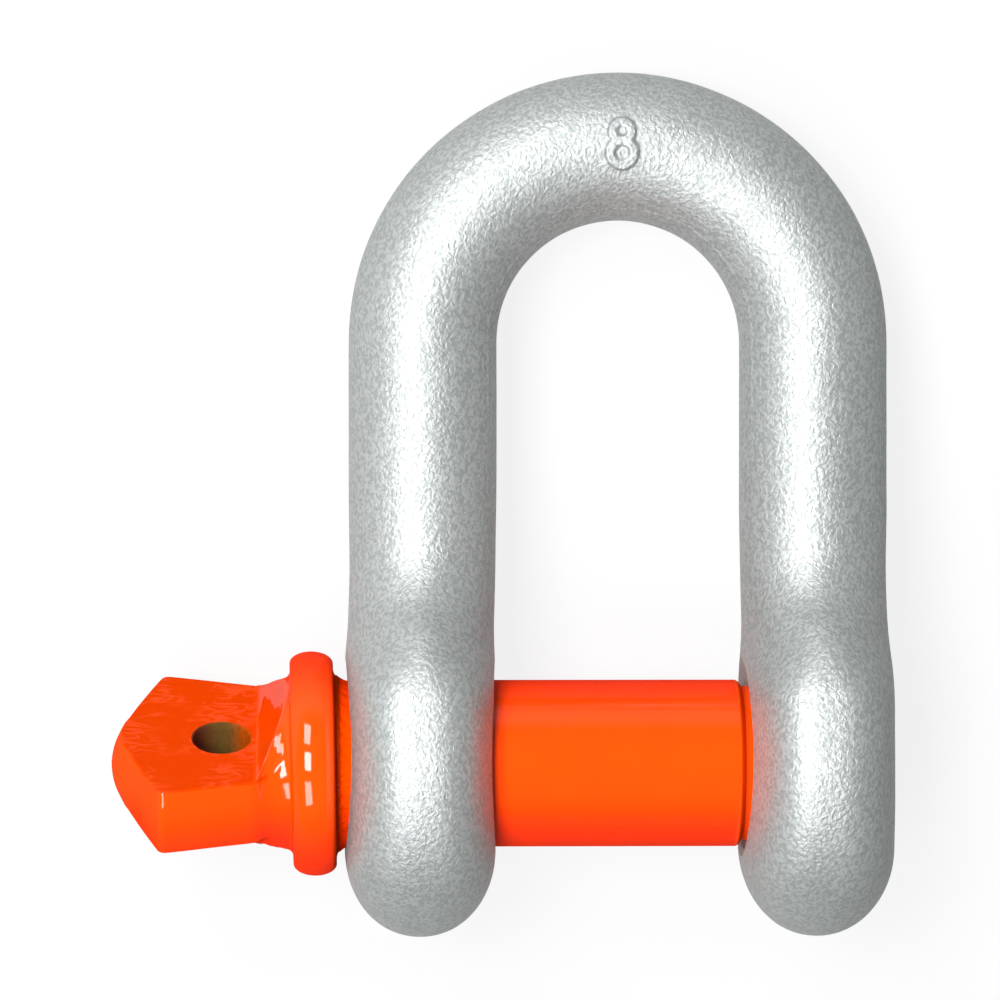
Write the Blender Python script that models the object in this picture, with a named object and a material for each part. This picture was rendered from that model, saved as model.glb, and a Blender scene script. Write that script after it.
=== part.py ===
"""Screw pin chain shackle of 19 mm bar, lying on its side as it comes to rest.

Two pieces: the forged bow, a D of round bar that ends in two eyes, and the screw pin,
whose shank passes through the plain eye and screws into the far, threaded eye.

Both pieces are drawn in the shackle's own frame: the pin's axis along X with its head at -X,
the crown of the bow towards +Y and the front towards +Z. An empty then lays that frame down,
so that both ears and the crown touch the floor at Z = 0.
"""
import math

import bmesh
import bpy
from mathutils import Matrix, Vector

MM = 0.001

# Pin shank and its threaded end, at the thread's pitch line
SHANK_RADIUS = 10.95 * MM
THREAD_HALF_DEPTH = 0.82 * MM
SHANK_CHAMFER = 1.0 * MM
SHANK_REACH = 0.7 * MM
PIN_END_DEPTH = 0.6 * MM
PIN_END_CHAMFER = 1.1 * MM

# Eyes: the plain one is a loose hole that the shank rests low in, the far one is threaded
EYE_CLEARANCE = 1.25 * MM
EYE_SEAT_GAP = 0.4 * MM
EYE_EDGE = 0.5 * MM
THREAD_CLEARANCE = 0.37 * MM
MOUTH_STEP = 1.81 * MM
MOUTH_ANGLE = math.radians(45)

# Bow: the bar, the spacing of its legs and their straight run below the crown's arc
BAR_RADIUS = 9.78 * MM
LEG_SPACING = 51.44 * MM
LEG_LENGTH = 27.81 * MM

# Ears, the flattened ends of the bar, and the necks between ears and legs
EAR_WALL = 10.6 * MM
EAR_SPREAD = 0.17 * MM
EAR_OFFSET = 0.35 * MM
EAR_ROUNDING = 11.9 * MM
EAR_ROUNDING_POWER = 2.1
EAR_FACE_MARGIN = 11.4 * MM
EAR_FACE_POWER = 2.8
NECK_FILLET = 13.0 * MM
NECK_WAIST = 0.12 * MM
NECK_WAIST_RISE = 1.95 * MM
NECK_END_BELOW = 2.6 * MM
NECK_END_ABOVE = 7.8 * MM

# Pin collar, crowned, with a rounded root on the shank
COLLAR_GAP = 1.05 * MM
COLLAR_STEP = 3.79 * MM
COLLAR_HALF_WIDTH = 3.03 * MM
COLLAR_CROWNING = 1.84 * MM
ROOT_LENGTH = 2.3 * MM
ROOT_STEP = 1.9 * MM

# Pin head: a neck, a flared stem and a blunt cone for its end
HEAD_NECK_STEP = 0.25 * MM
HEAD_NECK_FILLET = 0.9 * MM
HEAD_STEM_STEP = 1.95 * MM
HEAD_STEM_LENGTH = 4.3 * MM
HEAD_FLARE = 2.4 * MM
HEAD_FLARE_LENGTH = 12.5 * MM
HEAD_EDGE = 0.7 * MM
HEAD_CONE_ANGLE = math.radians(63.5)
HEAD_TIP_RADIUS = 8.5 * MM

# The two flats of the head, their ramps up to the collar, and the lug hole through them
FLAT_HALF_THICKNESS = 4.75 * MM
FLAT_TILT = math.radians(60.3)
RAMP_ANGLE = math.radians(55)
RAMP_BITE = 0.3 * MM
LUG_HOLE_RADIUS = 3.75 * MM
LUG_HOLE_FROM_COLLAR = 8.95 * MM
LUG_HOLE_OFFSET = 1.1 * MM

# Fineness of the faceting
BAR_SIDES = 36
PIN_SIDES = 48
HOLE_SIDES = 36
ARC_STEPS = 30
EAR_STEPS = 21
NECK_STEPS = 5
LEG_STEPS = 3
COLLAR_STEPS = 10
CURVE_STEPS = 5
SHARP_ANGLE = math.radians(32)

# How far a cutter starts outside what it cuts
CUTTER_PAST = 2.0 * MM

# Fits between the pin and the eyes
PLAIN_EYE_RADIUS = SHANK_RADIUS + EYE_CLEARANCE
EYE_RISE = EYE_CLEARANCE - EYE_SEAT_GAP
THREAD_RADIUS = SHANK_RADIUS - THREAD_HALF_DEPTH
THREAD_EYE_RADIUS = THREAD_RADIUS + THREAD_CLEARANCE
MOUTH_RADIUS = SHANK_RADIUS + MOUTH_STEP

# Places on the bow, in the shackle's frame
LEG_X = LEG_SPACING / 2
EAR_RADIUS = PLAIN_EYE_RADIUS + EAR_WALL
EAR_HALF_WIDTH = BAR_RADIUS + EAR_SPREAD
EAR_OUTER_X = LEG_X + EAR_OFFSET + EAR_HALF_WIDTH
EAR_INNER_X = LEG_X + EAR_OFFSET - EAR_HALF_WIDTH
EAR_FACE_Y = EAR_RADIUS - EAR_FACE_MARGIN
NECK_TOP_Y = math.sqrt((EAR_RADIUS + NECK_FILLET) ** 2 - (BAR_RADIUS + NECK_FILLET) ** 2)
NECK_BASE_Y = NECK_TOP_Y * EAR_RADIUS / (EAR_RADIUS + NECK_FILLET)
ARC_Y = NECK_TOP_Y + LEG_LENGTH
CROWN_Y = ARC_Y + LEG_X
REST_TILT = math.asin((EAR_RADIUS - BAR_RADIUS) / CROWN_Y)

# Radii and places on the pin, in the shackle's frame
COLLAR_RADIUS = SHANK_RADIUS + COLLAR_STEP
HEAD_NECK_RADIUS = SHANK_RADIUS + HEAD_NECK_STEP
HEAD_STEM_RADIUS = SHANK_RADIUS + HEAD_STEM_STEP
HEAD_RIM_RADIUS = HEAD_STEM_RADIUS + HEAD_FLARE
COLLAR_SEAT_X = -EAR_OUTER_X - COLLAR_GAP
COLLAR_X = COLLAR_SEAT_X - COLLAR_HALF_WIDTH
COLLAR_BACK_X = COLLAR_X - COLLAR_HALF_WIDTH
HEAD_NECK_X = COLLAR_BACK_X - HEAD_NECK_FILLET
HEAD_STEM_X = COLLAR_BACK_X - HEAD_STEM_LENGTH
HEAD_RIM_X = HEAD_STEM_X - HEAD_FLARE_LENGTH
CAP_RADIUS = HEAD_TIP_RADIUS * math.cos(HEAD_CONE_ANGLE)
CAP_X = HEAD_RIM_X - (HEAD_RIM_RADIUS - CAP_RADIUS) / math.tan(HEAD_CONE_ANGLE)
HEAD_TIP_X = CAP_X - HEAD_TIP_RADIUS * (1 - math.sin(HEAD_CONE_ANGLE))
LUG_HOLE_X = COLLAR_BACK_X - LUG_HOLE_FROM_COLLAR
SHANK_END_X = EAR_INNER_X - SHANK_REACH
PIN_END_X = EAR_OUTER_X - PIN_END_DEPTH


def clear_scene():
    """Remove every object of the scene."""
    for item in list(bpy.data.objects):
        bpy.data.objects.remove(item, do_unlink=True)


def principled(name, colour, roughness, metallic):
    """A plain Principled material."""
    material = bpy.data.materials.new(name)
    material.use_nodes = True
    shader = material.node_tree.nodes["Principled BSDF"]
    shader.inputs["Base Color"].default_value = (*colour, 1)
    shader.inputs["Roughness"].default_value = roughness
    shader.inputs["Metallic"].default_value = metallic
    return material


def add_object(name, mesh_data, parent):
    """Link an object made from a bmesh to the scene, smooth shaded, under the empty."""
    bmesh.ops.recalc_face_normals(mesh_data, faces=mesh_data.faces)
    mesh = bpy.data.meshes.new(name)
    mesh_data.to_mesh(mesh)
    mesh_data.free()
    mesh.shade_smooth()
    mesh.set_sharp_from_angle(angle=SHARP_ANGLE)
    item = bpy.data.objects.new(name, mesh)
    bpy.context.collection.objects.link(item)
    item.parent = parent
    return item


def add_cutter(name, mesh_data, parent):
    """An object that only cuts others."""
    cutter = add_object(name, mesh_data, parent)
    cutter.hide_render = True
    cutter.display_type = "WIRE"
    return cutter


def cut(item, cutter):
    """Cut one object by another."""
    modifier = item.modifiers.new("cut by " + cutter.name, "BOOLEAN")
    modifier.operation = "DIFFERENCE"
    modifier.solver = "EXACT"
    modifier.object = cutter


def mix(low, high, share):
    """The value a share of the way from low to high."""
    return low + (high - low) * share


def ease(value, start, end):
    """0 before start, 1 after end, smooth between."""
    share = min(1.0, max(0.0, (value - start) / (end - start)))
    return share * share * (3 - 2 * share)


def arc_turns(end, steps):
    """Evenly spaced angles from 0 to an end angle."""
    return [end * i / steps for i in range(steps + 1)]


def rounded(start, corner, end):
    """Stations round a corner, tangent to both of its sides."""
    stations = []
    for i in range(CURVE_STEPS + 1):
        t = i / CURVE_STEPS
        weights = ((1 - t) ** 2, 2 * t * (1 - t), t ** 2)
        points = (start, corner, end)
        stations.append(tuple(sum(w * p[k] for w, p in zip(weights, points)) for k in (0, 1)))
    return stations


def loft(rings):
    """Skin a closed body over rings of equally many points; a ring of one point is a pole."""
    mesh_data = bmesh.new()
    levels = [[mesh_data.verts.new(point) for point in ring] for ring in rings]
    for near, far in zip(levels, levels[1:]):
        count = max(len(near), len(far))
        for i in range(count):
            j = (i + 1) % count
            corners = [near[i % len(near)], near[j % len(near)], far[j % len(far)], far[i % len(far)]]
            mesh_data.faces.new(list(dict.fromkeys(corners)))
    for end in (levels[0], levels[-1]):
        if len(end) > 2:
            mesh_data.faces.new(end)
    return mesh_data


def circle(x, radius, rise=0.0):
    """A ring about X, its centre raised above the pin's axis; radius 0 gives a pole."""
    sides = PIN_SIDES if radius > 0 else 1
    turns = [2 * math.pi * (i + 0.5) / PIN_SIDES for i in range(sides)]
    return [(x, rise + radius * math.cos(a), radius * math.sin(a)) for a in turns]


def ear_half_depth(y):
    """Half of the ear's, neck's or leg's extent along Z at a height above the pin's axis."""
    if y < NECK_BASE_Y:
        return math.sqrt(max(0.0, EAR_RADIUS ** 2 - y ** 2))
    if y < NECK_TOP_Y:
        return BAR_RADIUS + NECK_FILLET - math.sqrt(NECK_FILLET ** 2 - (NECK_TOP_Y - y) ** 2)
    return BAR_RADIUS


def ear_half_width(y):
    """Half of the ear's, neck's or leg's extent along X at a height above the pin's axis."""
    down = EAR_ROUNDING - EAR_RADIUS - y
    if down > 0:
        share = min(1.0, down / EAR_ROUNDING)
        return EAR_HALF_WIDTH * (1 - share ** EAR_ROUNDING_POWER) ** (1 / EAR_ROUNDING_POWER)
    into_neck = ease(y, EAR_FACE_Y, NECK_BASE_Y + NECK_WAIST_RISE)
    into_leg = ease(y, NECK_TOP_Y - NECK_END_BELOW, NECK_TOP_Y + NECK_END_ABOVE)
    return mix(mix(EAR_HALF_WIDTH, BAR_RADIUS - NECK_WAIST, into_neck), BAR_RADIUS, into_leg)


def face_power(y):
    """How flat the faces are at a height: 2 is an ellipse, more is flatter."""
    into_neck = ease(y, EAR_FACE_Y, NECK_TOP_Y)
    into_bottom = ease(-y, EAR_FACE_Y, EAR_RADIUS)
    return mix(EAR_FACE_POWER, 2.0, max(into_neck, into_bottom))


def section(centre, outward, half_width, half_depth, power):
    """A ring across the bar's run: a superellipse, wide along outward and deep along Z."""
    ring = []
    for i in range(BAR_SIDES):
        turn = 2 * math.pi * i / BAR_SIDES
        across = math.copysign(abs(math.cos(turn)) ** (2 / power), math.cos(turn))
        through = math.copysign(abs(math.sin(turn)) ** (2 / power), math.sin(turn))
        ring.append(centre + outward * (half_width * across) + Vector((0, 0, half_depth * through)))
    return ring


def leg_heights():
    """Heights of the stations above an ear's bottom, up to the leg's top."""
    base_turn = math.acos(-NECK_BASE_Y / EAR_RADIUS)
    ear = [-EAR_RADIUS * math.cos(turn) for turn in arc_turns(base_turn, EAR_STEPS)[1:-1]]
    neck = [mix(NECK_BASE_Y, NECK_TOP_Y, i / NECK_STEPS) for i in range(NECK_STEPS)]
    leg = [mix(NECK_TOP_Y, ARC_Y, i / LEG_STEPS) for i in range(LEG_STEPS)]
    return ear + neck + leg


def leg_sections(side):
    """Sections of one ear, neck and leg, from the ear's bottom upwards."""
    outward = Vector((side, 0, 0))
    rings = [[Vector((side * (LEG_X + EAR_OFFSET), -EAR_RADIUS, 0))]]
    for y in leg_heights():
        offset = EAR_OFFSET * (1 - ease(y, EAR_FACE_Y, NECK_TOP_Y))
        centre = Vector((side * (LEG_X + offset), y, 0))
        rings.append(section(centre, outward, ear_half_width(y), ear_half_depth(y), face_power(y)))
    return rings


def arc_sections():
    """Sections of the half circle from the right leg over the crown to the left leg."""
    rings = []
    for turn in arc_turns(math.pi, ARC_STEPS):
        outward = Vector((math.cos(turn), math.sin(turn), 0))
        centre = Vector((0, ARC_Y, 0)) + outward * LEG_X
        rings.append(section(centre, outward, BAR_RADIUS, BAR_RADIUS, 2.0))
    return rings


def plain_eye():
    """The loose hole of the ear beside the head, its edges broken."""
    wide = PLAIN_EYE_RADIUS + EYE_EDGE + CUTTER_PAST
    return loft([
        circle(-EAR_OUTER_X - CUTTER_PAST, wide, EYE_RISE),
        circle(-EAR_OUTER_X + EYE_EDGE, PLAIN_EYE_RADIUS, EYE_RISE),
        circle(-EAR_INNER_X - EYE_EDGE, PLAIN_EYE_RADIUS, EYE_RISE),
        circle(-EAR_INNER_X + CUTTER_PAST, wide, EYE_RISE),
    ])


def threaded_eye():
    """The far ear's hole at its thread's pitch line, with the mouth where the shank comes in."""
    widening = MOUTH_RADIUS - THREAD_EYE_RADIUS
    depth = widening / math.tan(MOUTH_ANGLE)
    growth = 1 + CUTTER_PAST / depth
    return loft([
        circle(EAR_INNER_X - CUTTER_PAST, THREAD_EYE_RADIUS + widening * growth, EYE_RISE * growth),
        circle(EAR_INNER_X + depth, THREAD_EYE_RADIUS),
        circle(EAR_OUTER_X - PIN_END_CHAMFER, THREAD_EYE_RADIUS),
        circle(EAR_OUTER_X + PIN_END_CHAMFER, THREAD_EYE_RADIUS + 2 * PIN_END_CHAMFER),
    ])


def make_bow(frame):
    """The bow: bar, crown, necks and ears forged in one piece, with its two eyes."""
    body = loft(leg_sections(1) + arc_sections() + leg_sections(-1)[::-1])
    bow = add_object("bow", body, frame)
    bow.data.materials.append(principled("galvanised steel", (0.60, 0.62, 0.62), 0.45, 0.85))
    cut(bow, add_cutter("plain eye cutter", plain_eye(), frame))
    cut(bow, add_cutter("threaded eye cutter", threaded_eye(), frame))
    return bow


def head_profile():
    """Stations of the head, from its tip over the cone, rim, stem and neck to the collar."""
    tip = [(HEAD_TIP_X + HEAD_TIP_RADIUS * (1 - math.cos(turn)), HEAD_TIP_RADIUS * math.sin(turn))
           for turn in arc_turns(math.pi / 2 - HEAD_CONE_ANGLE, CURVE_STEPS)]
    cone_run = HEAD_EDGE * math.cos(HEAD_CONE_ANGLE)
    cone_drop = HEAD_EDGE * math.sin(HEAD_CONE_ANGLE)
    flare_drop = HEAD_EDGE * HEAD_FLARE / HEAD_FLARE_LENGTH
    rim = rounded((HEAD_RIM_X - cone_run, HEAD_RIM_RADIUS - cone_drop),
                  (HEAD_RIM_X, HEAD_RIM_RADIUS),
                  (HEAD_RIM_X + HEAD_EDGE, HEAD_RIM_RADIUS - flare_drop))
    stem = rounded((HEAD_STEM_X, HEAD_STEM_RADIUS),
                   (mix(HEAD_STEM_X, HEAD_NECK_X, 0.5), HEAD_NECK_RADIUS),
                   (HEAD_NECK_X, HEAD_NECK_RADIUS))
    neck = [(HEAD_NECK_X + HEAD_NECK_FILLET * math.sin(turn),
             HEAD_NECK_RADIUS + HEAD_NECK_FILLET * (1 - math.cos(turn)))
            for turn in arc_turns(math.pi / 2, CURVE_STEPS)]
    return tip + rim + stem + neck[1:]


def collar_profile():
    """Stations of the collar's crowned rim and of the rounded root down to the shank."""
    rim = [(COLLAR_X - COLLAR_HALF_WIDTH * math.cos(turn),
            COLLAR_RADIUS - COLLAR_CROWNING * (1 - math.sin(turn)))
           for turn in arc_turns(math.pi, COLLAR_STEPS)]
    root = [(COLLAR_SEAT_X + ROOT_LENGTH * (1 - math.cos(turn)),
             SHANK_RADIUS + ROOT_STEP * (1 - math.sin(turn)))
            for turn in arc_turns(math.pi / 2, CURVE_STEPS)]
    return rim + root


def shank_profile():
    """Stations of the shank's far end, its chamfer and the threaded length."""
    return [
        (SHANK_END_X, SHANK_RADIUS),
        (SHANK_END_X + SHANK_CHAMFER, THREAD_RADIUS),
        (PIN_END_X - PIN_END_CHAMFER, THREAD_RADIUS),
        (PIN_END_X, THREAD_RADIUS - PIN_END_CHAMFER),
    ]


def turn_to_flats(cutter):
    """Turn a cutter drawn with the flats facing Y and -Y to where they face."""
    turn = Matrix.Rotation(math.pi / 2 - FLAT_TILT, 3, "X")
    bmesh.ops.rotate(cutter, matrix=turn, verts=cutter.verts)
    return cutter


def flat_cutter(side):
    """What is struck off one side of the head: the flat and the ramp up to the collar."""
    clear = 2 * HEAD_RIM_RADIUS
    ramp_length = HEAD_STEM_LENGTH + RAMP_BITE
    ramp_top = FLAT_HALF_THICKNESS + ramp_length * math.tan(RAMP_ANGLE)
    outline = [
        (HEAD_TIP_X - CUTTER_PAST, FLAT_HALF_THICKNESS),
        (HEAD_STEM_X, FLAT_HALF_THICKNESS),
        (HEAD_STEM_X + ramp_length, ramp_top),
        (HEAD_STEM_X + ramp_length, clear),
        (HEAD_TIP_X - CUTTER_PAST, clear),
    ]
    rings = [[(x, side * height, reach) for x, height in outline] for reach in (-clear, clear)]
    return turn_to_flats(loft(rings))


def lug_hole_cutter():
    """The hole through both flats, which takes a bar to turn the pin or a securing wire."""
    rings = []
    for height in (-HEAD_RIM_RADIUS, HEAD_RIM_RADIUS):
        turns = arc_turns(2 * math.pi, HOLE_SIDES)[:-1]
        rings.append([(LUG_HOLE_X + LUG_HOLE_RADIUS * math.cos(turn), height,
                       LUG_HOLE_OFFSET + LUG_HOLE_RADIUS * math.sin(turn)) for turn in turns])
    return turn_to_flats(loft(rings))


def make_pin(frame):
    """The screw pin: head, collar, shank and threaded end in one piece."""
    stations = head_profile() + collar_profile() + shank_profile()
    pin = add_object("screw_pin", loft([circle(x, radius) for x, radius in stations]), frame)
    pin.data.materials.append(principled("orange paint", (1.0, 0.11, 0.0), 0.3, 0.0))
    cut(pin, add_cutter("upper flat cutter", flat_cutter(1), frame))
    cut(pin, add_cutter("lower flat cutter", flat_cutter(-1), frame))
    cut(pin, add_cutter("lug hole cutter", lug_hole_cutter(), frame))
    return pin


def make_rest_frame():
    """The empty that lays the shackle down, centred over the origin."""
    frame = bpy.data.objects.new("rest frame", None)
    bpy.context.collection.objects.link(frame)
    crown_reach = CROWN_Y * math.cos(REST_TILT) + BAR_RADIUS
    frame.location = (-(HEAD_TIP_X + EAR_OUTER_X) / 2, -(crown_reach - EAR_RADIUS) / 2, EAR_RADIUS)
    frame.rotation_euler = (-REST_TILT, 0, 0)
    return frame


def main():
    """Build the shackle."""
    clear_scene()
    frame = make_rest_frame()
    make_bow(frame)
    make_pin(frame)


main()
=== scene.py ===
"""Looks of the chain shackle: its galvanised bow, its painted screw pin, the studio and camera.

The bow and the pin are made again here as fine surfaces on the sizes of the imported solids, with
the screw thread, the forged skin, the rounded lips and the paint that those solids leave out.
Lengths are in metres, and both pieces are drawn in the shackle's own frame: the pin's axis along
X with its head at -X, the crown towards +Y and the front towards +Z.
"""
from __future__ import annotations

import logging
import math
from dataclasses import dataclass, field
from enum import Enum

import bmesh
import bpy
import numpy as np
from mathutils import Matrix, Vector, noise

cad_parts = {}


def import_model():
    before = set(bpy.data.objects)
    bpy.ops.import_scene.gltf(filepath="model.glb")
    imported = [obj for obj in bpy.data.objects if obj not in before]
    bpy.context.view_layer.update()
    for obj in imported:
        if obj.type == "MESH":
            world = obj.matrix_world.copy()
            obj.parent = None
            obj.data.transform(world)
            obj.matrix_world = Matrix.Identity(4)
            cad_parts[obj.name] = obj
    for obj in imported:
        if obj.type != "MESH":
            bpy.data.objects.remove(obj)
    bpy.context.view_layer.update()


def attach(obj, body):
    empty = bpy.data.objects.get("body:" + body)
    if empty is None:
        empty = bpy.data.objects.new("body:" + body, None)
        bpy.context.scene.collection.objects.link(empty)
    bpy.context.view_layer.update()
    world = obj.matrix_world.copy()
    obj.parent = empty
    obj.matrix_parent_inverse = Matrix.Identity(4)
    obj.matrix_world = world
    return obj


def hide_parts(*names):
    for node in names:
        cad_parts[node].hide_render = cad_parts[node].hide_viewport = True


log = logging.getLogger("shackle")

MM = 0.001
FULL_TURN = 2 * math.pi
TINY = 1e-6
WHITE = (1.0, 1.0, 1.0, 1.0)
BLACK = (0.0, 0.0, 0.0, 1.0)


class Side(Enum):
    """Which leg of the bow, by the sign of its X."""

    HEAD = -1
    THREAD = 1


class Arithmetic(Enum):
    """Sums that a Math node works out."""

    ADD = "ADD"
    SUBTRACT = "SUBTRACT"
    MULTIPLY = "MULTIPLY"
    DIVIDE = "DIVIDE"
    MAXIMUM = "MAXIMUM"
    ABSOLUTE = "ABSOLUTE"
    POWER = "POWER"


class Wire:
    """A value in a material, used in sums as a number is."""

    def __init__(self, recipe: Recipe, socket: bpy.types.NodeSocket) -> None:
        """Wrap one output socket of a recipe."""
        self.recipe = recipe
        self.socket = socket

    def _sum(self, operation: Arithmetic, first: Wire | float, second: Wire | float) -> Wire:
        """Add a Math node over two values.

        Args:
            operation: what the node works out.
            first: the first value.
            second: the second value.

        Returns:
            The node's result.
        """
        return self.recipe.add("ShaderNodeMath", {"operation": operation.value}, {0: first, 1: second})

    def __add__(self, other: Wire | float) -> Wire:
        """This value plus another."""
        return self._sum(Arithmetic.ADD, self, other)

    def __radd__(self, other: float) -> Wire:
        """A number plus this value."""
        return self._sum(Arithmetic.ADD, other, self)

    def __sub__(self, other: Wire | float) -> Wire:
        """This value less another."""
        return self._sum(Arithmetic.SUBTRACT, self, other)

    def __rsub__(self, other: float) -> Wire:
        """A number less this value."""
        return self._sum(Arithmetic.SUBTRACT, other, self)

    def __mul__(self, other: Wire | float) -> Wire:
        """This value times another."""
        return self._sum(Arithmetic.MULTIPLY, self, other)

    def __rmul__(self, other: float) -> Wire:
        """A number times this value."""
        return self._sum(Arithmetic.MULTIPLY, other, self)

    def __truediv__(self, other: Wire | float) -> Wire:
        """This value over another."""
        return self._sum(Arithmetic.DIVIDE, self, other)

    def __rtruediv__(self, other: float) -> Wire:
        """A number over this value."""
        return self._sum(Arithmetic.DIVIDE, other, self)

    def __pow__(self, other: float) -> Wire:
        """This value to a power."""
        return self._sum(Arithmetic.POWER, self, other)

    def __abs__(self) -> Wire:
        """This value without its sign."""
        return self._sum(Arithmetic.ABSOLUTE, self, 0.0)

    def or_more(self, other: Wire | float) -> Wire:
        """The larger of this value and another."""
        return self._sum(Arithmetic.MAXIMUM, self, other)


class Recipe:
    """The node tree of one finish."""

    def __init__(self, tree: bpy.types.NodeTree) -> None:
        """Start from an empty tree."""
        self.tree = tree
        self.tree.nodes.clear()

    def add(self, kind: str, settings: dict | None = None, sockets: dict | None = None,
            output: int | str = 0) -> Wire | None:
        """Add one node, set it up and wire it.

        Args:
            kind: the node's type.
            settings: the node's own properties, which are set first.
            sockets: numbers, colours or wires for its inputs, by name or place.
            output: the output to return.

        Returns:
            The chosen output, or None where the node has none.
        """
        node = self.tree.nodes.new(kind)
        for name, value in (settings or {}).items():
            setattr(node, name, value)
        for key, value in (sockets or {}).items():
            if isinstance(value, Wire):
                self.tree.links.new(value.socket, node.inputs[key])
            else:
                node.inputs[key].default_value = value
        return Wire(self, node.outputs[output]) if node.outputs else None

    def place(self, rest: Matrix) -> Wire:
        """Where a point lies in the shackle's own frame.

        Args:
            rest: how that frame lies in the world.

        Returns:
            The point.
        """
        back = rest.inverted()
        world = self.add("ShaderNodeTexCoord", output="Object")
        return self.add("ShaderNodeMapping", {"vector_type": "POINT"},
                        {"Vector": world, "Location": tuple(back.translation),
                         "Rotation": tuple(back.to_euler())})

    def parts(self, vector: Wire) -> tuple[Wire, Wire, Wire]:
        """The X, Y and Z of a vector."""
        split = self.add("ShaderNodeSeparateXYZ", sockets={0: vector}).socket.node
        return tuple(Wire(self, output) for output in split.outputs)

    def stretch(self, vector: Wire, factors: tuple[float, float, float]) -> Wire:
        """A vector with each of its parts multiplied.

        Args:
            vector: the vector to stretch.
            factors: what X, Y and Z are multiplied by.

        Returns:
            The stretched vector.
        """
        return self.add("ShaderNodeVectorMath", {"operation": "MULTIPLY"}, {0: vector, 1: factors})

    def clouds(self, vector: Wire, size: float, detail: float = 2.0, distortion: float = 0.0) -> Wire:
        """A cloudy pattern of a given grain.

        Args:
            vector: where to read it.
            size: the size of its grain in metres.
            detail: how many finer layers lie on it.
            distortion: how far it is pulled about.

        Returns:
            Its value, from about 0 to 1.
        """
        return self.add("ShaderNodeTexNoise", sockets={
            "Vector": vector, "Scale": 1.0 / size, "Detail": detail, "Distortion": distortion})

    def fade(self, value: Wire, start: float, end: float) -> Wire:
        """0 before start and 1 after end, smooth between.

        Args:
            value: what is measured.
            start: where the fade starts; it may lie above end.
            end: where it ends.

        Returns:
            The share, from 0 to 1.
        """
        return self.add("ShaderNodeMapRange", {"interpolation_type": "SMOOTHSTEP"},
                        {"Value": value, "From Min": start, "From Max": end})

    def band(self, value: Wire, start: float, end: float, rise: float, fall: float) -> Wire:
        """1 inside a stretch of a value and 0 outside it, smooth at both ends.

        Args:
            value: what is measured.
            start: where the stretch starts.
            end: where it ends.
            rise: how long the change at its start takes.
            fall: how long the change at its end takes.

        Returns:
            The share, from 0 to 1.
        """
        return self.fade(value, start, start + rise) * self.fade(value, end, end - fall)

    def blend(self, share: Wire | float, low: Wire | tuple, high: Wire | tuple) -> Wire:
        """A colour between two others.

        Args:
            share: 0 for the first colour, 1 for the second.
            low: the first colour.
            high: the second colour.

        Returns:
            The mixed colour.
        """
        ends = [colour if isinstance(colour, Wire) else (*colour, 1.0) for colour in (low, high)]
        return self.add("ShaderNodeMix", {"data_type": "RGBA"}, {0: share, 6: ends[0], 7: ends[1]}, 2)

    def bump(self, height: Wire, distance: float, under: Wire | None = None) -> Wire:
        """A surface raised by a height pattern.

        Args:
            height: the pattern, from 0 to 1.
            distance: how high 1 stands, in metres.
            under: another bump that this one lies on.

        Returns:
            The bumped normal.
        """
        sockets = {"Height": height, "Distance": distance, "Strength": 1.0}
        if under is not None:
            sockets["Normal"] = under
        return self.add("ShaderNodeBump", sockets=sockets)

    def finish(self, **sockets: Wire | float | tuple) -> None:
        """End in a Principled surface.

        Args:
            sockets: the surface's inputs, with _ for the spaces in their names.
        """
        surface = self.add("ShaderNodeBsdfPrincipled",
                           sockets={name.replace("_", " "): value for name, value in sockets.items()})
        self.add("ShaderNodeOutputMaterial", sockets={"Surface": surface})


def new_finish(name: str) -> tuple[bpy.types.Material, Recipe]:
    """A new material and its empty recipe.

    Args:
        name: the material's name.

    Returns:
        The material and its recipe.
    """
    material = bpy.data.materials.new(name)
    material.use_nodes = True
    return material, Recipe(material.node_tree)


@dataclass(frozen=True)
class Galvanised:
    """Hot-dip zinc on forged steel: matt grey, with a fine streaky grain that sparkles."""

    pale: tuple[float, float, float] = (0.455, 0.48, 0.475)
    dull: tuple[float, float, float] = (0.34, 0.365, 0.36)
    dull_below: float = 0.37
    pale_above: float = 0.63
    metal: float = 0.65
    roughness: float = 0.55
    roughness_spread: float = 0.05
    smooth_below: float = 0.35
    rough_above: float = 0.65
    grain: float = 0.50 * MM
    grain_detail: float = 1.2
    grain_distortion: float = 0.5
    grain_draw: float = 0.85
    grain_lean: float = math.radians(-12)
    grain_height: float = 0.14 * MM
    lumps: float = 2.2 * MM
    lump_distortion: float = 0.4
    lump_height: float = 0.05 * MM

    def material(self, rest: Matrix) -> bpy.types.Material:
        """Mix the finish.

        Args:
            rest: how the shackle's frame lies in the world.

        Returns:
            The material.
        """
        material, recipe = new_finish("galvanised_zinc")
        leaning = recipe.place(rest @ Matrix.Rotation(self.grain_lean, 4, "Z"))
        drawn = recipe.stretch(leaning, (1.0, self.grain_draw, 1.0))
        grain = recipe.clouds(drawn, self.grain, self.grain_detail, self.grain_distortion)
        lumps = recipe.clouds(recipe.place(rest), self.lumps, distortion=self.lump_distortion)
        colour = recipe.blend(recipe.fade(grain, self.dull_below, self.pale_above), self.dull, self.pale)
        unevenly = recipe.fade(lumps, self.smooth_below, self.rough_above) - 0.5
        normal = recipe.bump(grain, self.grain_height, recipe.bump(lumps, self.lump_height))
        recipe.finish(Base_Color=colour, Metallic=self.metal,
                      Roughness=self.roughness + self.roughness_spread * unevenly, Normal=normal)
        return material


@dataclass(frozen=True)
class PinParts:
    """Where a point of the pin lies: its place, and each part of the pin as a share from 0 to 1."""

    place: Wire
    past_hole: Wire
    in_hole: Wire
    on_flat: Wire
    on_ramp: Wire
    on_cone: Wire
    in_root: Wire
    in_groove: Wire
    in_step: Wire
    sideways: Wire


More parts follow.
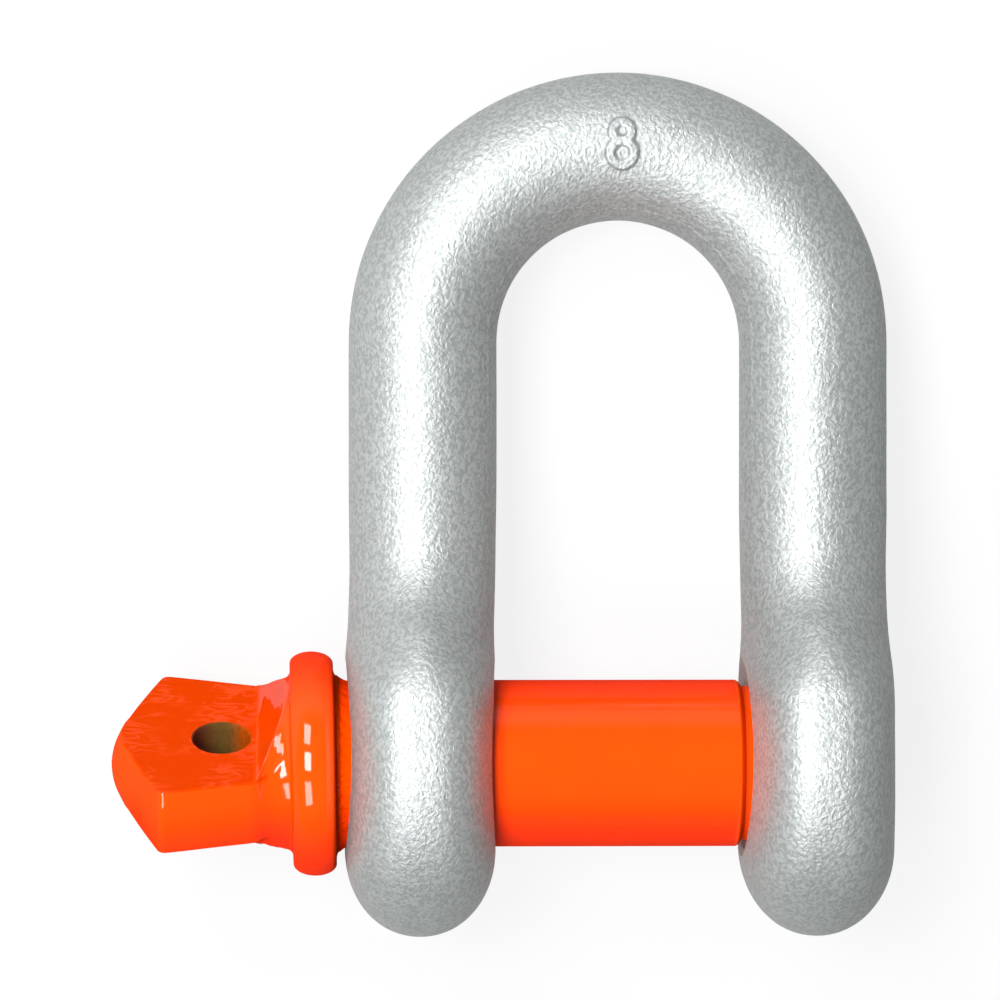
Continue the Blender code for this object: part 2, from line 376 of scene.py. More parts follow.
@dataclass(frozen=True)
class OrangePaint:
    """Glossy enamel, brushed thick over rough steel, and bare rubbed metal in the lug hole. Painted shade
    darkens the flats, ramps, cone, the top and bottom edges, the groove, the shank's step and one side of the
    lug hole, and a painted sheen lightens the ripples on the flats.
    """

    enamel: tuple[float, float, float] = (1.0, 0.062, 0.0)
    # deep is a deeper tone for the uneven paint and the root, and painted shade on the flats, ramps and cone
    deep: tuple[float, float, float] = (0.60, 0.041, 0.0)
    # Painted shade along the top and bottom edges of the round pin
    painted_edge_shade: tuple[float, float, float] = (0.92, 0.026, 0.0)
    # Painted sheen on the crests of the ripples on the flats
    painted_ripple_sheen: tuple[float, float, float] = (0.9, 0.10, 0.03)
    # Painted shade on the lug hole's side towards the tip, and also the colour of the hole's stains
    hole_shade_and_stain: tuple[float, float, float] = (0.10, 0.03, 0.015)
    hole_bare: tuple[float, float, float] = (0.11, 0.065, 0.015)
    hole_paint: tuple[float, float, float] = (0.40, 0.06, 0.0)
    # Painted shade for the groove at the collar's seat and for the step at the shank's chamfer
    groove_shade: tuple[float, float, float] = (0.36, 0.024, 0.0)
    # How far each part is mixed towards a deeper tone, towards painted shade and towards the painted ripple
    # sheen
    uneven_depth: float = 0.15
    edge_shade_depth: float = 0.85
    ramp_shade: float = 0.8
    cone_shade: float = 0.25
    root_depth: float = 0.6
    step_shade: float = 0.6
    stain_depth: float = 0.6
    ripple_sheen: float = 0.4
    # Gloss of each part
    roughness: float = 0.45
    gloss: float = 0.118
    flat_gloss: float = 0.01
    cone_gloss: float = 0.06
    root_gloss: float = 0.04
    ramp_gloss: float = 0.38
    gloss_loss_sideways: float = 0.55
    gloss_index: float = 3.0
    gloss_roughness: float = 0.06
    # Patterns: their sizes, and the values between which they come in
    blotch: float = 0.5 * MM
    root_blotches: tuple[float, float] = (0.35, 0.75)
    hole_blotches: tuple[float, float] = (0.45, 0.75)
    shade: float = 6.0 * MM
    shade_range: tuple[float, float] = (0.3, 0.7)
    rib: float = 0.5 * MM
    rib_stretch: tuple[float, float, float] = (0.3, 1.0, 1.0)
    rib_height: float = 0.25 * MM
    ripple: float = 1.5 * MM
    ripple_detail: float = 1.5
    ripple_distortion: float = 0.8
    ripple_stretch: tuple[float, float, float] = (0.35, 1.0, 1.0)
    ripple_sharpness: float = 12.0
    ripple_range: tuple[float, float] = (0.42, 0.6)
    ripple_height: float = 0.03 * MM
    # Where each part starts and ends, and how softly
    hole_range: tuple[float, float] = (1.09, 1.03)
    hole_bare_range: tuple[float, float] = (-0.8, -0.1)
    hole_paint_range: tuple[float, float] = (0.1, 0.95)
    flat_sunk: float = 0.35 * MM
    flat_proud: float = 0.3 * MM
    flat_soft: float = 0.2 * MM
    flat_past_stem: float = 2.0 * MM
    ramp_sunk: float = 0.45 * MM
    ramp_sunk_soft: float = 0.25 * MM
    ramp_soft: tuple[float, float] = (0.4 * MM, 0.3 * MM)
    cone_past_rim: float = 0.2 * MM
    cone_soft: float = 0.5 * MM
    root_before_seat: float = 0.6 * MM
    root_past_seat: float = 4.0 * MM
    root_soft: tuple[float, float] = (0.8 * MM, 1.0 * MM)
    groove_length: float = 0.9 * MM
    groove_soft: float = 0.6 * MM
    step_length: float = 1.4 * MM
    step_soft: tuple[float, float] = (0.4 * MM, 0.5 * MM)
    edge_shade_shift: float = 1.2 * MM
    edge_shade_range: tuple[float, float] = (0.4, 1.0)
    edge_shade_radii: tuple[float, float] = (5.0 * MM, 10.0 * MM)
    edge_shade_soft: float = 0.5 * MM

    def parts(self, recipe: Recipe, rest: Matrix, plan: Plan, pin: Pin) -> PinParts:
        """Find out which part of the pin a point lies on.

        Args:
            recipe: the tree to work in.
            rest: how the shackle's frame lies in the world.
            plan: the shackle's shared sizes.
            pin: the pin, for the places of its flats, hole and root.

        Returns:
            The pin's parts.
        """
        place = recipe.place(rest)
        along, up, front = recipe.parts(place)
        cos_flat, sin_flat = math.cos(pin.flat_turn), math.sin(pin.flat_turn)
        facing = up * cos_flat + front * sin_flat
        across = front * cos_flat - up * sin_flat
        past_hole = (along - pin.hole_x) / pin.hole_radius
        beside_hole = (across - pin.hole_offset) / pin.hole_radius
        from_hole = (past_hole * past_hole + beside_hole * beside_hole) ** 0.5
        from_axis = (up * up + front * front) ** 0.5
        above_ramp = abs(facing) - (along - pin.stem_x) * pin.ramp_slope
        seat, end, flat_end = plan.collar_seat_x, pin.shank_end_x, pin.stem_x + self.flat_past_stem
        on_flat = recipe.band(abs(facing), pin.flat_half - self.flat_sunk, pin.flat_half + self.flat_proud,
                              self.flat_soft, self.flat_soft)
        sunk = pin.flat_half - self.ramp_sunk
        on_ramp = recipe.fade(above_ramp, sunk, sunk + self.ramp_sunk_soft)
        cone_start = pin.rim_x + self.cone_past_rim
        in_root = recipe.band(along, seat - self.root_before_seat, seat + self.root_past_seat,
                              *self.root_soft)
        groove_end = seat + self.groove_length
        # The round pin's top and bottom edges: painted shade darkens the paint there, and the gloss is less
        to_side = recipe.fade(abs(up - self.edge_shade_shift) / from_axis, *self.edge_shade_range)
        to_side = to_side * recipe.fade(from_axis, *self.edge_shade_radii)
        in_hole = recipe.fade(from_hole, *self.hole_range)
        return PinParts(
            place=place, past_hole=past_hole,
            in_hole=in_hole * recipe.fade(along, pin.stem_x, pin.stem_x - MM),
            on_flat=on_flat * recipe.fade(along, flat_end, flat_end - MM),
            on_ramp=on_ramp * recipe.band(along, pin.stem_x, pin.collar_back_x, *self.ramp_soft),
            on_cone=recipe.fade(along, cone_start, cone_start - self.cone_soft),
            in_root=in_root,
            in_groove=in_root * recipe.fade(along, groove_end, groove_end - self.groove_soft),
            in_step=recipe.band(along, end, end + self.step_length, *self.step_soft),
            sideways=to_side * recipe.fade(along, end, end - self.edge_shade_soft))

    def colour(self, recipe: Recipe, parts: PinParts, shade: Wire, crests: Wire) -> Wire:
        """Mix the paint's colour.

        Args:
            recipe: the tree to work in.
            parts: the pin's parts.
            shade: the paint's wide uneven pattern.
            crests: the ripples on the flats, from 0 to 1.

        Returns:
            The colour.
        """
        blotches = recipe.clouds(parts.place, self.blotch)
        deeper = recipe.fade(shade, *self.shade_range) * self.uneven_depth
        colour = recipe.blend(deeper, self.enamel, self.deep)
        # Painted shade along the top and bottom edges of the round pin
        colour = recipe.blend(parts.sideways * self.edge_shade_depth, colour, self.painted_edge_shade)
        # Painted shade: the flats, ramps and end cone are darkened towards deep, because less light falls on
        # them than on the round
        deeper = parts.on_flat.or_more(parts.on_ramp * self.ramp_shade)
        deeper = deeper.or_more(parts.on_cone * self.cone_shade)
        colour = recipe.blend(deeper, colour, self.deep)
        deeper = parts.in_root * recipe.fade(blotches, *self.root_blotches) * self.root_depth
        colour = recipe.blend(deeper, colour, self.deep)
        # Painted shade: the groove in the collar's shadow and the step at the shank's chamfer, which faces
        # away from the light
        darkest = parts.in_groove.or_more(parts.in_step * self.step_shade)
        colour = recipe.blend(darkest, colour, self.groove_shade)
        # Painted sheen: the crests of the ripples on the flats are lightened
        colour = recipe.blend(crests * self.ripple_sheen, colour, self.painted_ripple_sheen)
        # In the lug hole: painted shade on the side towards the tip, then bare metal, then paint, with stains
        # in the shade's colour
        bared = recipe.fade(parts.past_hole, *self.hole_bare_range)
        painted = recipe.fade(parts.past_hole, *self.hole_paint_range)
        in_hole = recipe.blend(bared, self.hole_shade_and_stain, self.hole_bare)
        in_hole = recipe.blend(painted, in_hole, self.hole_paint)
        stains = recipe.fade(blotches, *self.hole_blotches) * self.stain_depth
        return recipe.blend(parts.in_hole, colour, recipe.blend(stains, in_hole, self.hole_shade_and_stain))

    def coat(self, parts: PinParts) -> Wire:
        """How much gloss the paint has on each of the pin's parts.

        Args:
            parts: the pin's parts.

        Returns:
            The weight of the gloss.
        """
        gloss = self.gloss + (self.cone_gloss - self.gloss) * parts.on_cone
        gloss = gloss + (self.flat_gloss - gloss) * parts.on_flat
        gloss = gloss + (self.root_gloss - gloss) * parts.in_root
        gloss = gloss * (1.0 - parts.sideways * self.gloss_loss_sideways)
        gloss = gloss + (self.ramp_gloss - gloss) * parts.on_ramp
        return gloss * (1.0 - parts.in_hole)

    def material(self, rest: Matrix, plan: Plan, pin: Pin) -> bpy.types.Material:
        """Mix the finish for the pin.

        Args:
            rest: how the shackle's frame lies in the world.
            plan: the shackle's shared sizes.
            pin: the pin that it covers.

        Returns:
            The material.
        """
        material, recipe = new_finish("orange_enamel")
        parts = self.parts(recipe, rest, plan, pin)
        shade = recipe.clouds(parts.place, self.shade)
        waves = recipe.clouds(recipe.stretch(parts.place, self.ripple_stretch), self.ripple,
                              self.ripple_detail, self.ripple_distortion)
        crests = (1.0 - abs(waves - 0.5) * self.ripple_sharpness).or_more(0.0)
        crests = crests * recipe.fade(shade, *self.ripple_range) * parts.on_flat
        ribs = recipe.clouds(recipe.stretch(parts.place, self.rib_stretch), self.rib)
        normal = recipe.bump(crests, self.ripple_height, recipe.bump(ribs * parts.in_root, self.rib_height))
        recipe.finish(Base_Color=self.colour(recipe, parts, shade, crests), Roughness=self.roughness,
                      Normal=normal, Specular_IOR_Level=0.0,
                      Coat_Weight=self.coat(parts), Coat_IOR=self.gloss_index,
                      Coat_Roughness=self.gloss_roughness)
        return material


def mix(low: np.ndarray | float, high: np.ndarray | float, share: np.ndarray | float) -> np.ndarray | float:
    """The value a share of the way from low to high."""
    return low + (high - low) * share


def ease(value: np.ndarray | float, start: float, end: float) -> np.ndarray | float:
    """0 before start and 1 after end, smooth between.

    Args:
        value: what is measured.
        start: where the change starts.
        end: where it ends.

    Returns:
        The share, from 0 to 1.
    """
    share = np.clip((value - start) / (end - start), 0.0, 1.0)
    return share * share * (3 - 2 * share)


def signed_power(value: np.ndarray, power: float) -> np.ndarray:
    """A power of a value's size, with the value's sign."""
    return np.sign(value) * np.abs(value) ** power


def rounded(start: tuple, corner: tuple, end: tuple, steps: int) -> list[tuple[float, float]]:
    """Points round a corner, tangent to both of its sides.

    Args:
        start: where the rounding leaves the first side.
        corner: the sharp corner.
        end: where it meets the second side.
        steps: how many facets it gets.

    Returns:
        The points, both ends included.
    """
    points = np.array([start, corner, end])
    shares = np.linspace(0.0, 1.0, steps + 1)
    return [tuple(np.array([(1 - t) ** 2, 2 * t * (1 - t), t * t]) @ points) for t in shares]


def skin(name: str, rings: list[np.ndarray]) -> bpy.types.Mesh:
    """Skin a closed surface over rings; a ring of one point is a pole.

    Args:
        name: the mesh's name.
        rings: the rings' points, from one end of the body to the other.

    Returns:
        The mesh, its faces pointing out.
    """
    starts = np.cumsum([0] + [len(ring) for ring in rings])
    faces = []
    for near, far, low, high in zip(rings, rings[1:], starts, starts[1:]):
        count = max(len(near), len(far))
        for i in range(count):
            j = (i + 1) % count
            corners = (low + i % len(near), low + j % len(near), high + j % len(far), high + i % len(far))
            faces.append(tuple(dict.fromkeys(int(corner) for corner in corners)))
    for ring, start in ((rings[0], starts[0]), (rings[-1], starts[-2])):
        if len(ring) > 1:
            faces.append(tuple(range(int(start), int(start) + len(ring))))
    mesh = bpy.data.meshes.new(name)
    mesh.from_pydata(np.concatenate(rings).tolist(), [], faces)
    work = bmesh.new()
    work.from_mesh(mesh)
    bmesh.ops.recalc_face_normals(work, faces=work.faces)
    if work.calc_volume(signed=True) < 0:
        bmesh.ops.reverse_faces(work, faces=work.faces)
    work.to_mesh(mesh)
    work.free()
    return mesh


def circle_about_x(x: np.ndarray | float, radius: np.ndarray | float, turns: np.ndarray,
                   rise: float = 0.0) -> np.ndarray:
    """A ring about the pin's axis.

    Args:
        x: its place along the axis, one number or one for each turn.
        radius: its radius, one number or one for each turn.
        turns: the angles of its points, from Y towards Z.
        rise: how far its centre lies above the axis.

    Returns:
        Its points.
    """
    full = np.ones_like(turns)
    return np.stack([x * full, rise + radius * np.cos(turns), radius * np.sin(turns)], 1)


def raise_skin(mesh: bpy.types.Mesh, heights: np.ndarray) -> None:
    """Move each point of a mesh along its normal.

    Args:
        mesh: the mesh to change.
        heights: how far each point moves out, in metres.
    """
    count = len(mesh.vertices)
    points, normals = np.empty(count * 3), np.empty(count * 3)
    mesh.vertices.foreach_get("co", points)
    mesh.vertices.foreach_get("normal", normals)
    points += normals * np.repeat(heights, 3)
    mesh.vertices.foreach_set("co", points)
    mesh.update()


def points_of(mesh: bpy.types.Mesh) -> np.ndarray:
    """The points of a mesh, one row for each.

    Args:
        mesh: the mesh to read.

    Returns:
        Its points.
    """
    points = np.empty(len(mesh.vertices) * 3)
    mesh.vertices.foreach_get("co", points)
    return points.reshape(-1, 3)


def unevenness(points: np.ndarray, wavelength: float, seed: float) -> np.ndarray:
    """Smooth random heights from -1 to 1.

    Args:
        points: where they are read, one row for each point.
        wavelength: the size of the bumps in metres.
        seed: which pattern of bumps.

    Returns:
        One height for each point.
    """
    shift = Vector((seed, -seed, 2 * seed))
    return np.array([noise.noise(Vector(point) / wavelength + shift) for point in points])


@dataclass(frozen=True)
class Waves:
    """Low random waves on a skin."""

    height: float
    length: float
    seed: float
    sunk: float = 0.0
    stretch: tuple[float, float, float] = (1.0, 1.0, 1.0)

    def at(self, points: np.ndarray) -> np.ndarray:
        """Their heights at points; sunk by 1, none rises above the skin."""
        return self.height * (unevenness(points * self.stretch, self.length, self.seed) - self.sunk)


def carve(name: str, body: bpy.types.Mesh, cutters: list[bpy.types.Mesh],
          sharp_angle: float) -> bpy.types.Object:
    """Cut a body by others and keep the result as one piece.

    Args:
        name: the piece's name.
        body: the mesh to cut.
        cutters: the meshes to cut away.
        sharp_angle: edges sharper than this stay crisp, in radians.

    Returns:
        The piece, smooth shaded.
    """
    piece = bpy.data.objects.new(name, body)
    bpy.context.scene.collection.objects.link(piece)
    helpers = []
    for cutter in cutters:
        helper = bpy.data.objects.new(cutter.name, cutter)
        bpy.context.scene.collection.objects.link(helper)
        modifier = piece.modifiers.new(cutter.name, "BOOLEAN")
        modifier.object = helper
        modifier.operation = "DIFFERENCE"
        modifier.solver = "EXACT"
        helpers.append(helper)
    depsgraph = bpy.context.evaluated_depsgraph_get()
    result = bpy.data.meshes.new_from_object(piece.evaluated_get(depsgraph))
    piece.modifiers.clear()
    piece.data = result
    for helper in helpers:
        bpy.data.objects.remove(helper, do_unlink=True)
    result.shade_smooth()
    result.set_sharp_from_angle(angle=sharp_angle)
    return piece


def dress(piece: bpy.types.Object, finish: bpy.types.Material, rest: Matrix) -> None:
    """Cover a piece with its finish and lay its mesh where it lies in the world.

    Args:
        piece: the piece to dress.
        finish: the material that covers it.
        rest: how the shackle's frame lies in the world.
    """
    piece.data.materials.clear()
    piece.data.materials.append(finish)
    piece.data.transform(rest)


@dataclass(frozen=True)
class Plan:
    """Sizes that the bow and the pin share, and the places that follow from them."""

    bar_radius: float = 9.78 * MM
    leg_spacing: float = 51.44 * MM
    leg_length: float = 27.81 * MM
    shank_radius: float = 10.95 * MM
    thread_half_depth: float = 0.82 * MM
    thread_clearance: float = 0.37 * MM
    eye_clearance: float = 1.25 * MM
    eye_seat_gap: float = 0.4 * MM
    ear_wall: float = 10.6 * MM
    ear_spread: float = 0.17 * MM
    ear_offset: float = 0.35 * MM
    neck_fillet: float = 13.0 * MM
    collar_gap: float = 1.21 * MM

    @property
    def leg_x(self) -> float:
        """Distance of each leg's centre line from the middle."""
        return self.leg_spacing / 2

    @property
    def thread_radius(self) -> float:
        """The pin thread's mean radius."""
        return self.shank_radius - self.thread_half_depth

    @property
    def plain_eye_radius(self) -> float:
        """The loose eye's radius."""
        return self.shank_radius + self.eye_clearance

    @property
    def eye_rise(self) -> float:
        """How far the eyes' own centres lie above the pin's axis."""
        return self.eye_clearance - self.eye_seat_gap

    @property
    def ear_radius(self) -> float:
        """The ears' outer radius about the pin's axis."""
        return self.plain_eye_radius + self.ear_wall

    @property
    def ear_half_width(self) -> float:
        """Half of an ear's thickness."""
        return self.bar_radius + self.ear_spread

    @property
    def ear_outer_x(self) -> float:
        """Distance of an ear's outer face from the middle."""
        return self.leg_x + self.ear_offset + self.ear_half_width

    @property
    def ear_inner_x(self) -> float:
        """Distance of an ear's inner face from the middle."""
        return self.leg_x + self.ear_offset - self.ear_half_width

    @property
    def neck_top_y(self) -> float:
        """Height at which a neck has become the round leg."""
        fillet = self.neck_fillet
        return math.sqrt((self.ear_radius + fillet) ** 2 - (self.bar_radius + fillet) ** 2)

    @property
    def neck_base_y(self) -> float:
        """Height at which a neck's fillet leaves the ear's round."""
        return self.neck_top_y * self.ear_radius / (self.ear_radius + self.neck_fillet)

    @property
    def arc_y(self) -> float:
        """Height of the crown's centre of curvature."""
        return self.neck_top_y + self.leg_length

    @property
    def crown_y(self) -> float:
        """Height of the bar's centre line at the crown."""
        return self.arc_y + self.leg_x

    @property
    def collar_seat_x(self) -> float:
        """Place of the collar's face towards the ear."""
        return -self.ear_outer_x - self.collar_gap

    def rest(self, head_tip_x: float) -> Matrix:
        """How the shackle's frame lies in the world.

        Args:
            head_tip_x: the place of the head's tip along the pin.

        Returns:
            The frame's matrix: both ears and the crown on the floor, the box over the origin.
        """
        tilt = math.asin((self.ear_radius - self.bar_radius) / self.crown_y)
        reach = self.crown_y * math.cos(tilt) + self.bar_radius
        middle_x, middle_y = (head_tip_x + self.ear_outer_x) / 2, (reach - self.ear_radius) / 2
        corner = Vector((-middle_x, -middle_y, self.ear_radius))
        return Matrix.Translation(corner) @ Matrix.Rotation(-tilt, 4, "X")


@dataclass(frozen=True)
class Thread:
    """The coarse right-hand thread of the pin's end and the far eye."""

    mean_radius: float
    pitch: float = 25.4 / 9 * MM
    half_height: float = 0.74 * MM
    flank_gain: float = 1.6

    def radius(self, x: np.ndarray | float, turns: np.ndarray) -> np.ndarray:
        """The thread's radius at places along and round the axis.

        Args:
            x: place along the axis.
            turns: angles from Y towards Z.

        Returns:
            One radius for each angle.
        """
        phase = x / self.pitch - turns / FULL_TURN
        wave = 1 - 4 * np.abs(phase - np.floor(phase) - 0.5)
        return self.mean_radius + self.half_height * np.clip(self.flank_gain * wave, -1.0, 1.0)


@dataclass
class Numeral:
    """The raised plain figure eight on the crown's front: two rings, one on the other."""

    upper_radius: float = 1.2 * MM
    lower_radius: float = 1.55 * MM
    stroke: float = 0.62 * MM
    flank: float = 0.42 * MM
    height: float = 0.42 * MM

    def heights(self, across: np.ndarray, up: np.ndarray) -> np.ndarray:
        """How far the figure raises the skin.

        Args:
            across: places along the crown's run from the figure's middle.
            up: places across the bar from the figure's middle.

        Returns:
            One height for each place.
        """
        joint = (self.lower_radius - self.upper_radius) / 2
        upper = np.abs(np.hypot(across, up - joint - self.upper_radius) - self.upper_radius)
        lower = np.abs(np.hypot(across, up - joint + self.lower_radius) - self.lower_radius)
        edges = self.stroke - self.flank / 2, self.stroke + self.flank / 2
        return self.height * (1 - ease(np.minimum(upper, lower), *edges))


@dataclass
class Bow:
    """The forged bow: crown, legs, necks and ears, with a plain and a threaded eye."""

    plan: Plan
    ear_rounding: float = 11.9 * MM
    ear_rounding_power: float = 2.1
    ear_face_margin: float = 11.4 * MM
    ear_face_power: float = 2.8
    neck_waist: float = 0.12 * MM
    neck_waist_rise: float = 1.95 * MM
    neck_lift: float = 2.2 * MM
    neck_lift_from: float = 4.0 * MM
    neck_pinch: float = 1.78
    neck_pinch_before: float = 4.0 * MM
    neck_end_below: float = 2.6 * MM
    neck_end_above: float = 7.8 * MM
    # The eyes' lips, the far eye's mouth and outer edge, and how far the cutters reach out of the ears
    eye_lip: float = 0.8 * MM
    # Pairs in multiples of the lip: how far out of the face, how much wider
    eye_curve: tuple[tuple[float, float], ...] = ((0.0, 1.0), (-0.18, 0.55), (-0.45, 0.22), (-1.0, 0.0))
    mouth_step: float = 1.81 * MM
    mouth_lip: float = 0.45 * MM
    # Pairs in multiples of the lip: how far into the face, how much narrower
    mouth_curve: tuple[tuple[float, float], ...] = ((0.35, -0.3), (1.0, 0.8))
    mouth_proud: float = 0.02 * MM
    mouth_fade: float = 1.2 * MM
    edge_depth: float = 1.6 * MM
    edge_slope: float = 1.1
    edge_step: float = 0.4 * MM
    cut_past: float = 2.0 * MM
    eye_cut_wider: float = 1.6 * MM
    mouth_cut_wider: float = 2.6 * MM
    end_cut_past: float = 1.5 * MM
    # Forged skin, the two ridges of the trimmed flash and the figure; shares are of the bar's radius
    skin_shrink: float = 0.06 * MM
    swell: Waves = Waves(0.045 * MM, 9.0 * MM, 3.0)
    dimples: Waves = Waves(0.015 * MM, 2.6 * MM, 11.0)
    land_half_width: float = 4.8 * MM
    land_ridge: float = 0.10 * MM
    land_ridge_width: float = 0.22 * MM
    land_shares: tuple[float, float] = (0.6, 0.4)
    land_from_neck: float = 4.0 * MM
    numeral: Numeral = field(default_factory=Numeral)
    numeral_shares: tuple[float, float] = (0.5, 0.7)
    # Fineness of the surface
    coarse_turn: float = math.radians(3.0)
    fine_turn: float = math.radians(1.0)
    least_turn: float = math.radians(0.2)
    numeral_turn: float = math.radians(26)
    numeral_reach: float = math.radians(8)
    ridge_turns: tuple[float, ...] = (-4.0, -2.0, -1.0, 0.0, 1.0, 2.0, 4.0)
    ear_stations: int = 96
    neck_stations: int = 26
    leg_stations: int = 34
    arc_stations: int = 56
    numeral_stations: int = 46
    eye_sides: int = 144
    thread_steps: int = 14
    sharp_angle: float = math.radians(38)

    @property
    def face_y(self) -> float:
        """Height at which the ear's flat face starts to round off."""
        return self.plan.ear_radius - self.ear_face_margin

    def half_depth(self, y: float) -> float:
        """Half of the extent along Z at a height.

        Args:
            y: the height, along the shackle's Y.

        Returns:
            The half depth.
        """
        plan = self.plan
        y -= self.neck_lift * ease(y, self.neck_lift_from, self.face_y)
        if y < plan.neck_base_y:
            return math.sqrt(max(0.0, plan.ear_radius ** 2 - y ** 2))
        if y < plan.neck_top_y:
            drop = math.sqrt(plan.neck_fillet ** 2 - (plan.neck_top_y - y) ** 2)
            return plan.bar_radius + plan.neck_fillet - drop
        return plan.bar_radius

    def half_width(self, y: float) -> float:
        """Half of the extent along X at a height.

        Args:
            y: the height, along the shackle's Y.

        Returns:
            The half width.
        """
        plan = self.plan
        down = self.ear_rounding - plan.ear_radius - y
        if down > 0:
            share, power = min(1.0, down / self.ear_rounding), self.ear_rounding_power
            return plan.ear_half_width * (1 - share ** power) ** (1 / power)
        into_neck = ease(y, self.face_y, plan.neck_base_y + self.neck_waist_rise)
        into_leg = ease(y, plan.neck_top_y - self.neck_end_below, plan.neck_top_y + self.neck_end_above)
        neck = mix(plan.ear_half_width, plan.bar_radius - self.neck_waist, into_neck)
        return mix(neck, plan.bar_radius, into_leg)

    def face_power(self, y: float) -> float:
        """How flat the faces are at a height; 2 is an ellipse.

        Args:
            y: the height, along the shackle's Y.

        Returns:
            The power of the section's curve.
        """
        into_neck = ease(y, self.face_y - self.neck_pinch_before, self.plan.neck_base_y)
        into_leg = ease(y, self.plan.neck_base_y, self.plan.neck_top_y + self.neck_lift)
        into_bottom = ease(-y, self.face_y, self.plan.ear_radius)
        return mix(mix(mix(self.ear_face_power, 2.0, into_bottom), self.neck_pinch, into_neck), 2.0, into_leg)

    def centre_x(self, y: float) -> float:
        """Distance of the ear's or leg's middle from the shackle's middle."""
        return self.plan.leg_x + self.plan.ear_offset * (1 - ease(y, self.face_y, self.plan.neck_top_y))

    def face_bulge(self, y: float, z: float) -> float:
        """How far an ear's face stands from the ear's middle at a point of the face.

        Args:
            y: the height, along the shackle's Y.
            z: the place across the face.

        Returns:
            The distance.
        """
        power = self.face_power(y)
        share = min(1.0, abs(z) / self.half_depth(y))
        return self.half_width(y) * (1 - share ** power) ** (1 / power)

    def side_turns(self) -> np.ndarray:
        """Angles of the points round a section, closer together where the figure stands.

        Returns:
            The angles, from the outward side towards the front.
        """
        front = math.pi / 2
        fine = np.arange(front - self.numeral_turn, front + self.numeral_turn, self.fine_turn)
        rest = FULL_TURN - 2 * self.numeral_turn
        steps = round(rest / self.coarse_turn)
        coarse = front + self.numeral_turn + rest * np.arange(steps) / steps
        ridge = math.asin(self.land_half_width / self.plan.bar_radius)
        near_ridge = math.pi - ridge + np.radians(self.ridge_turns)
        turns = np.sort(np.concatenate([fine, coarse, near_ridge, -near_ridge]) % FULL_TURN)
        return turns[np.append(np.diff(turns) > self.least_turn, True)]

    def section(self, centre: np.ndarray, outward: np.ndarray, half_width: float, half_depth: float,
                power: float) -> np.ndarray:
        """A ring across the bar's run.

        Args:
            centre: its middle.
            outward: the direction of its width, away from the gap.
            half_width: half of its extent along outward.
            half_depth: half of its extent along Z.
            power: 2 for an ellipse, more for flatter faces.

        Returns:
            Its points.
        """
        turns = self.side_turns()
        across = half_width * signed_power(np.cos(turns), 2 / power)
        through = half_depth * signed_power(np.sin(turns), 2 / power)
        return centre + np.outer(across, outward) + np.outer(through, (0.0, 0.0, 1.0))

    def leg_rings(self, side: Side) -> list[np.ndarray]:
        """Rings of one ear, neck and leg, from the ear's bottom upwards.

        Args:
            side: which leg.

        Returns:
            The rings.
        """
        plan = self.plan
        base_turn = math.acos(-plan.neck_base_y / plan.ear_radius)
        ear = -plan.ear_radius * np.cos(np.linspace(0, base_turn, self.ear_stations + 1))[1:-1]
        leg_foot = plan.neck_top_y + self.neck_lift
        neck = np.linspace(plan.neck_base_y, leg_foot, self.neck_stations, endpoint=False)
        leg = np.linspace(leg_foot, plan.arc_y, self.leg_stations, endpoint=False)
        outward = np.array([side.value, 0.0, 0.0])
        bottom = outward * self.centre_x(-plan.ear_radius) + np.array([0.0, -plan.ear_radius, 0.0])
        rings = [bottom.reshape(1, 3)]
        for y in np.concatenate([ear, neck, leg]):
            centre = outward * self.centre_x(y) + np.array([0.0, y, 0.0])
            rings.append(self.section(centre, outward, self.half_width(y), self.half_depth(y),
                                      self.face_power(y)))
        return rings

    def arc_rings(self) -> list[np.ndarray]:
        """Rings of the half circle over the crown, closer together where the figure stands.

        Returns:
            The rings.
        """
        plan = self.plan
        before, after = math.pi / 2 - self.numeral_reach, math.pi / 2 + self.numeral_reach
        coarse = np.linspace(0, before, self.arc_stations, endpoint=False)
        fine = np.linspace(before, after, self.numeral_stations, endpoint=False)
        rings = []
        for turn in np.concatenate([coarse, fine, math.pi - coarse[::-1]]):
            outward = np.array([math.cos(turn), math.sin(turn), 0.0])
            centre = np.array([0.0, plan.arc_y, 0.0]) + outward * plan.leg_x
            rings.append(self.section(centre, outward, plan.bar_radius, plan.bar_radius, 2.0))
        return rings

    def body(self) -> bpy.types.Mesh:
        """The forging before its eyes are made, with its uneven skin, trim ridges and figure.

        Returns:
            The mesh.
        """
        plan = self.plan
        rings = self.leg_rings(Side.THREAD) + self.arc_rings() + self.leg_rings(Side.HEAD)[::-1]
        mesh = skin("bow_body", rings)
        points = points_of(mesh)
        heights = -self.skin_shrink + self.swell.at(points)
        heights += self.dimples.at(points)
        x, y, z = points.T
        above = np.maximum(y - plan.arc_y, 0.0)
        from_middle = np.where(y > plan.arc_y, np.hypot(x, above), np.abs(x))
        inside = 1 - ease(from_middle, *(plan.leg_x - share * plan.bar_radius for share in self.land_shares))
        on_line = np.exp(-((np.abs(z) - self.land_half_width) / self.land_ridge_width) ** 2)
        on_leg = ease(y, plan.neck_top_y + self.land_from_neck, plan.arc_y)
        heights += self.land_ridge * on_line * inside * on_leg
        in_front = ease(z, *(share * plan.bar_radius for share in self.numeral_shares))
        heights += in_front * self.numeral.heights(x, y - plan.crown_y)
        raise_skin(mesh, heights)
        return mesh

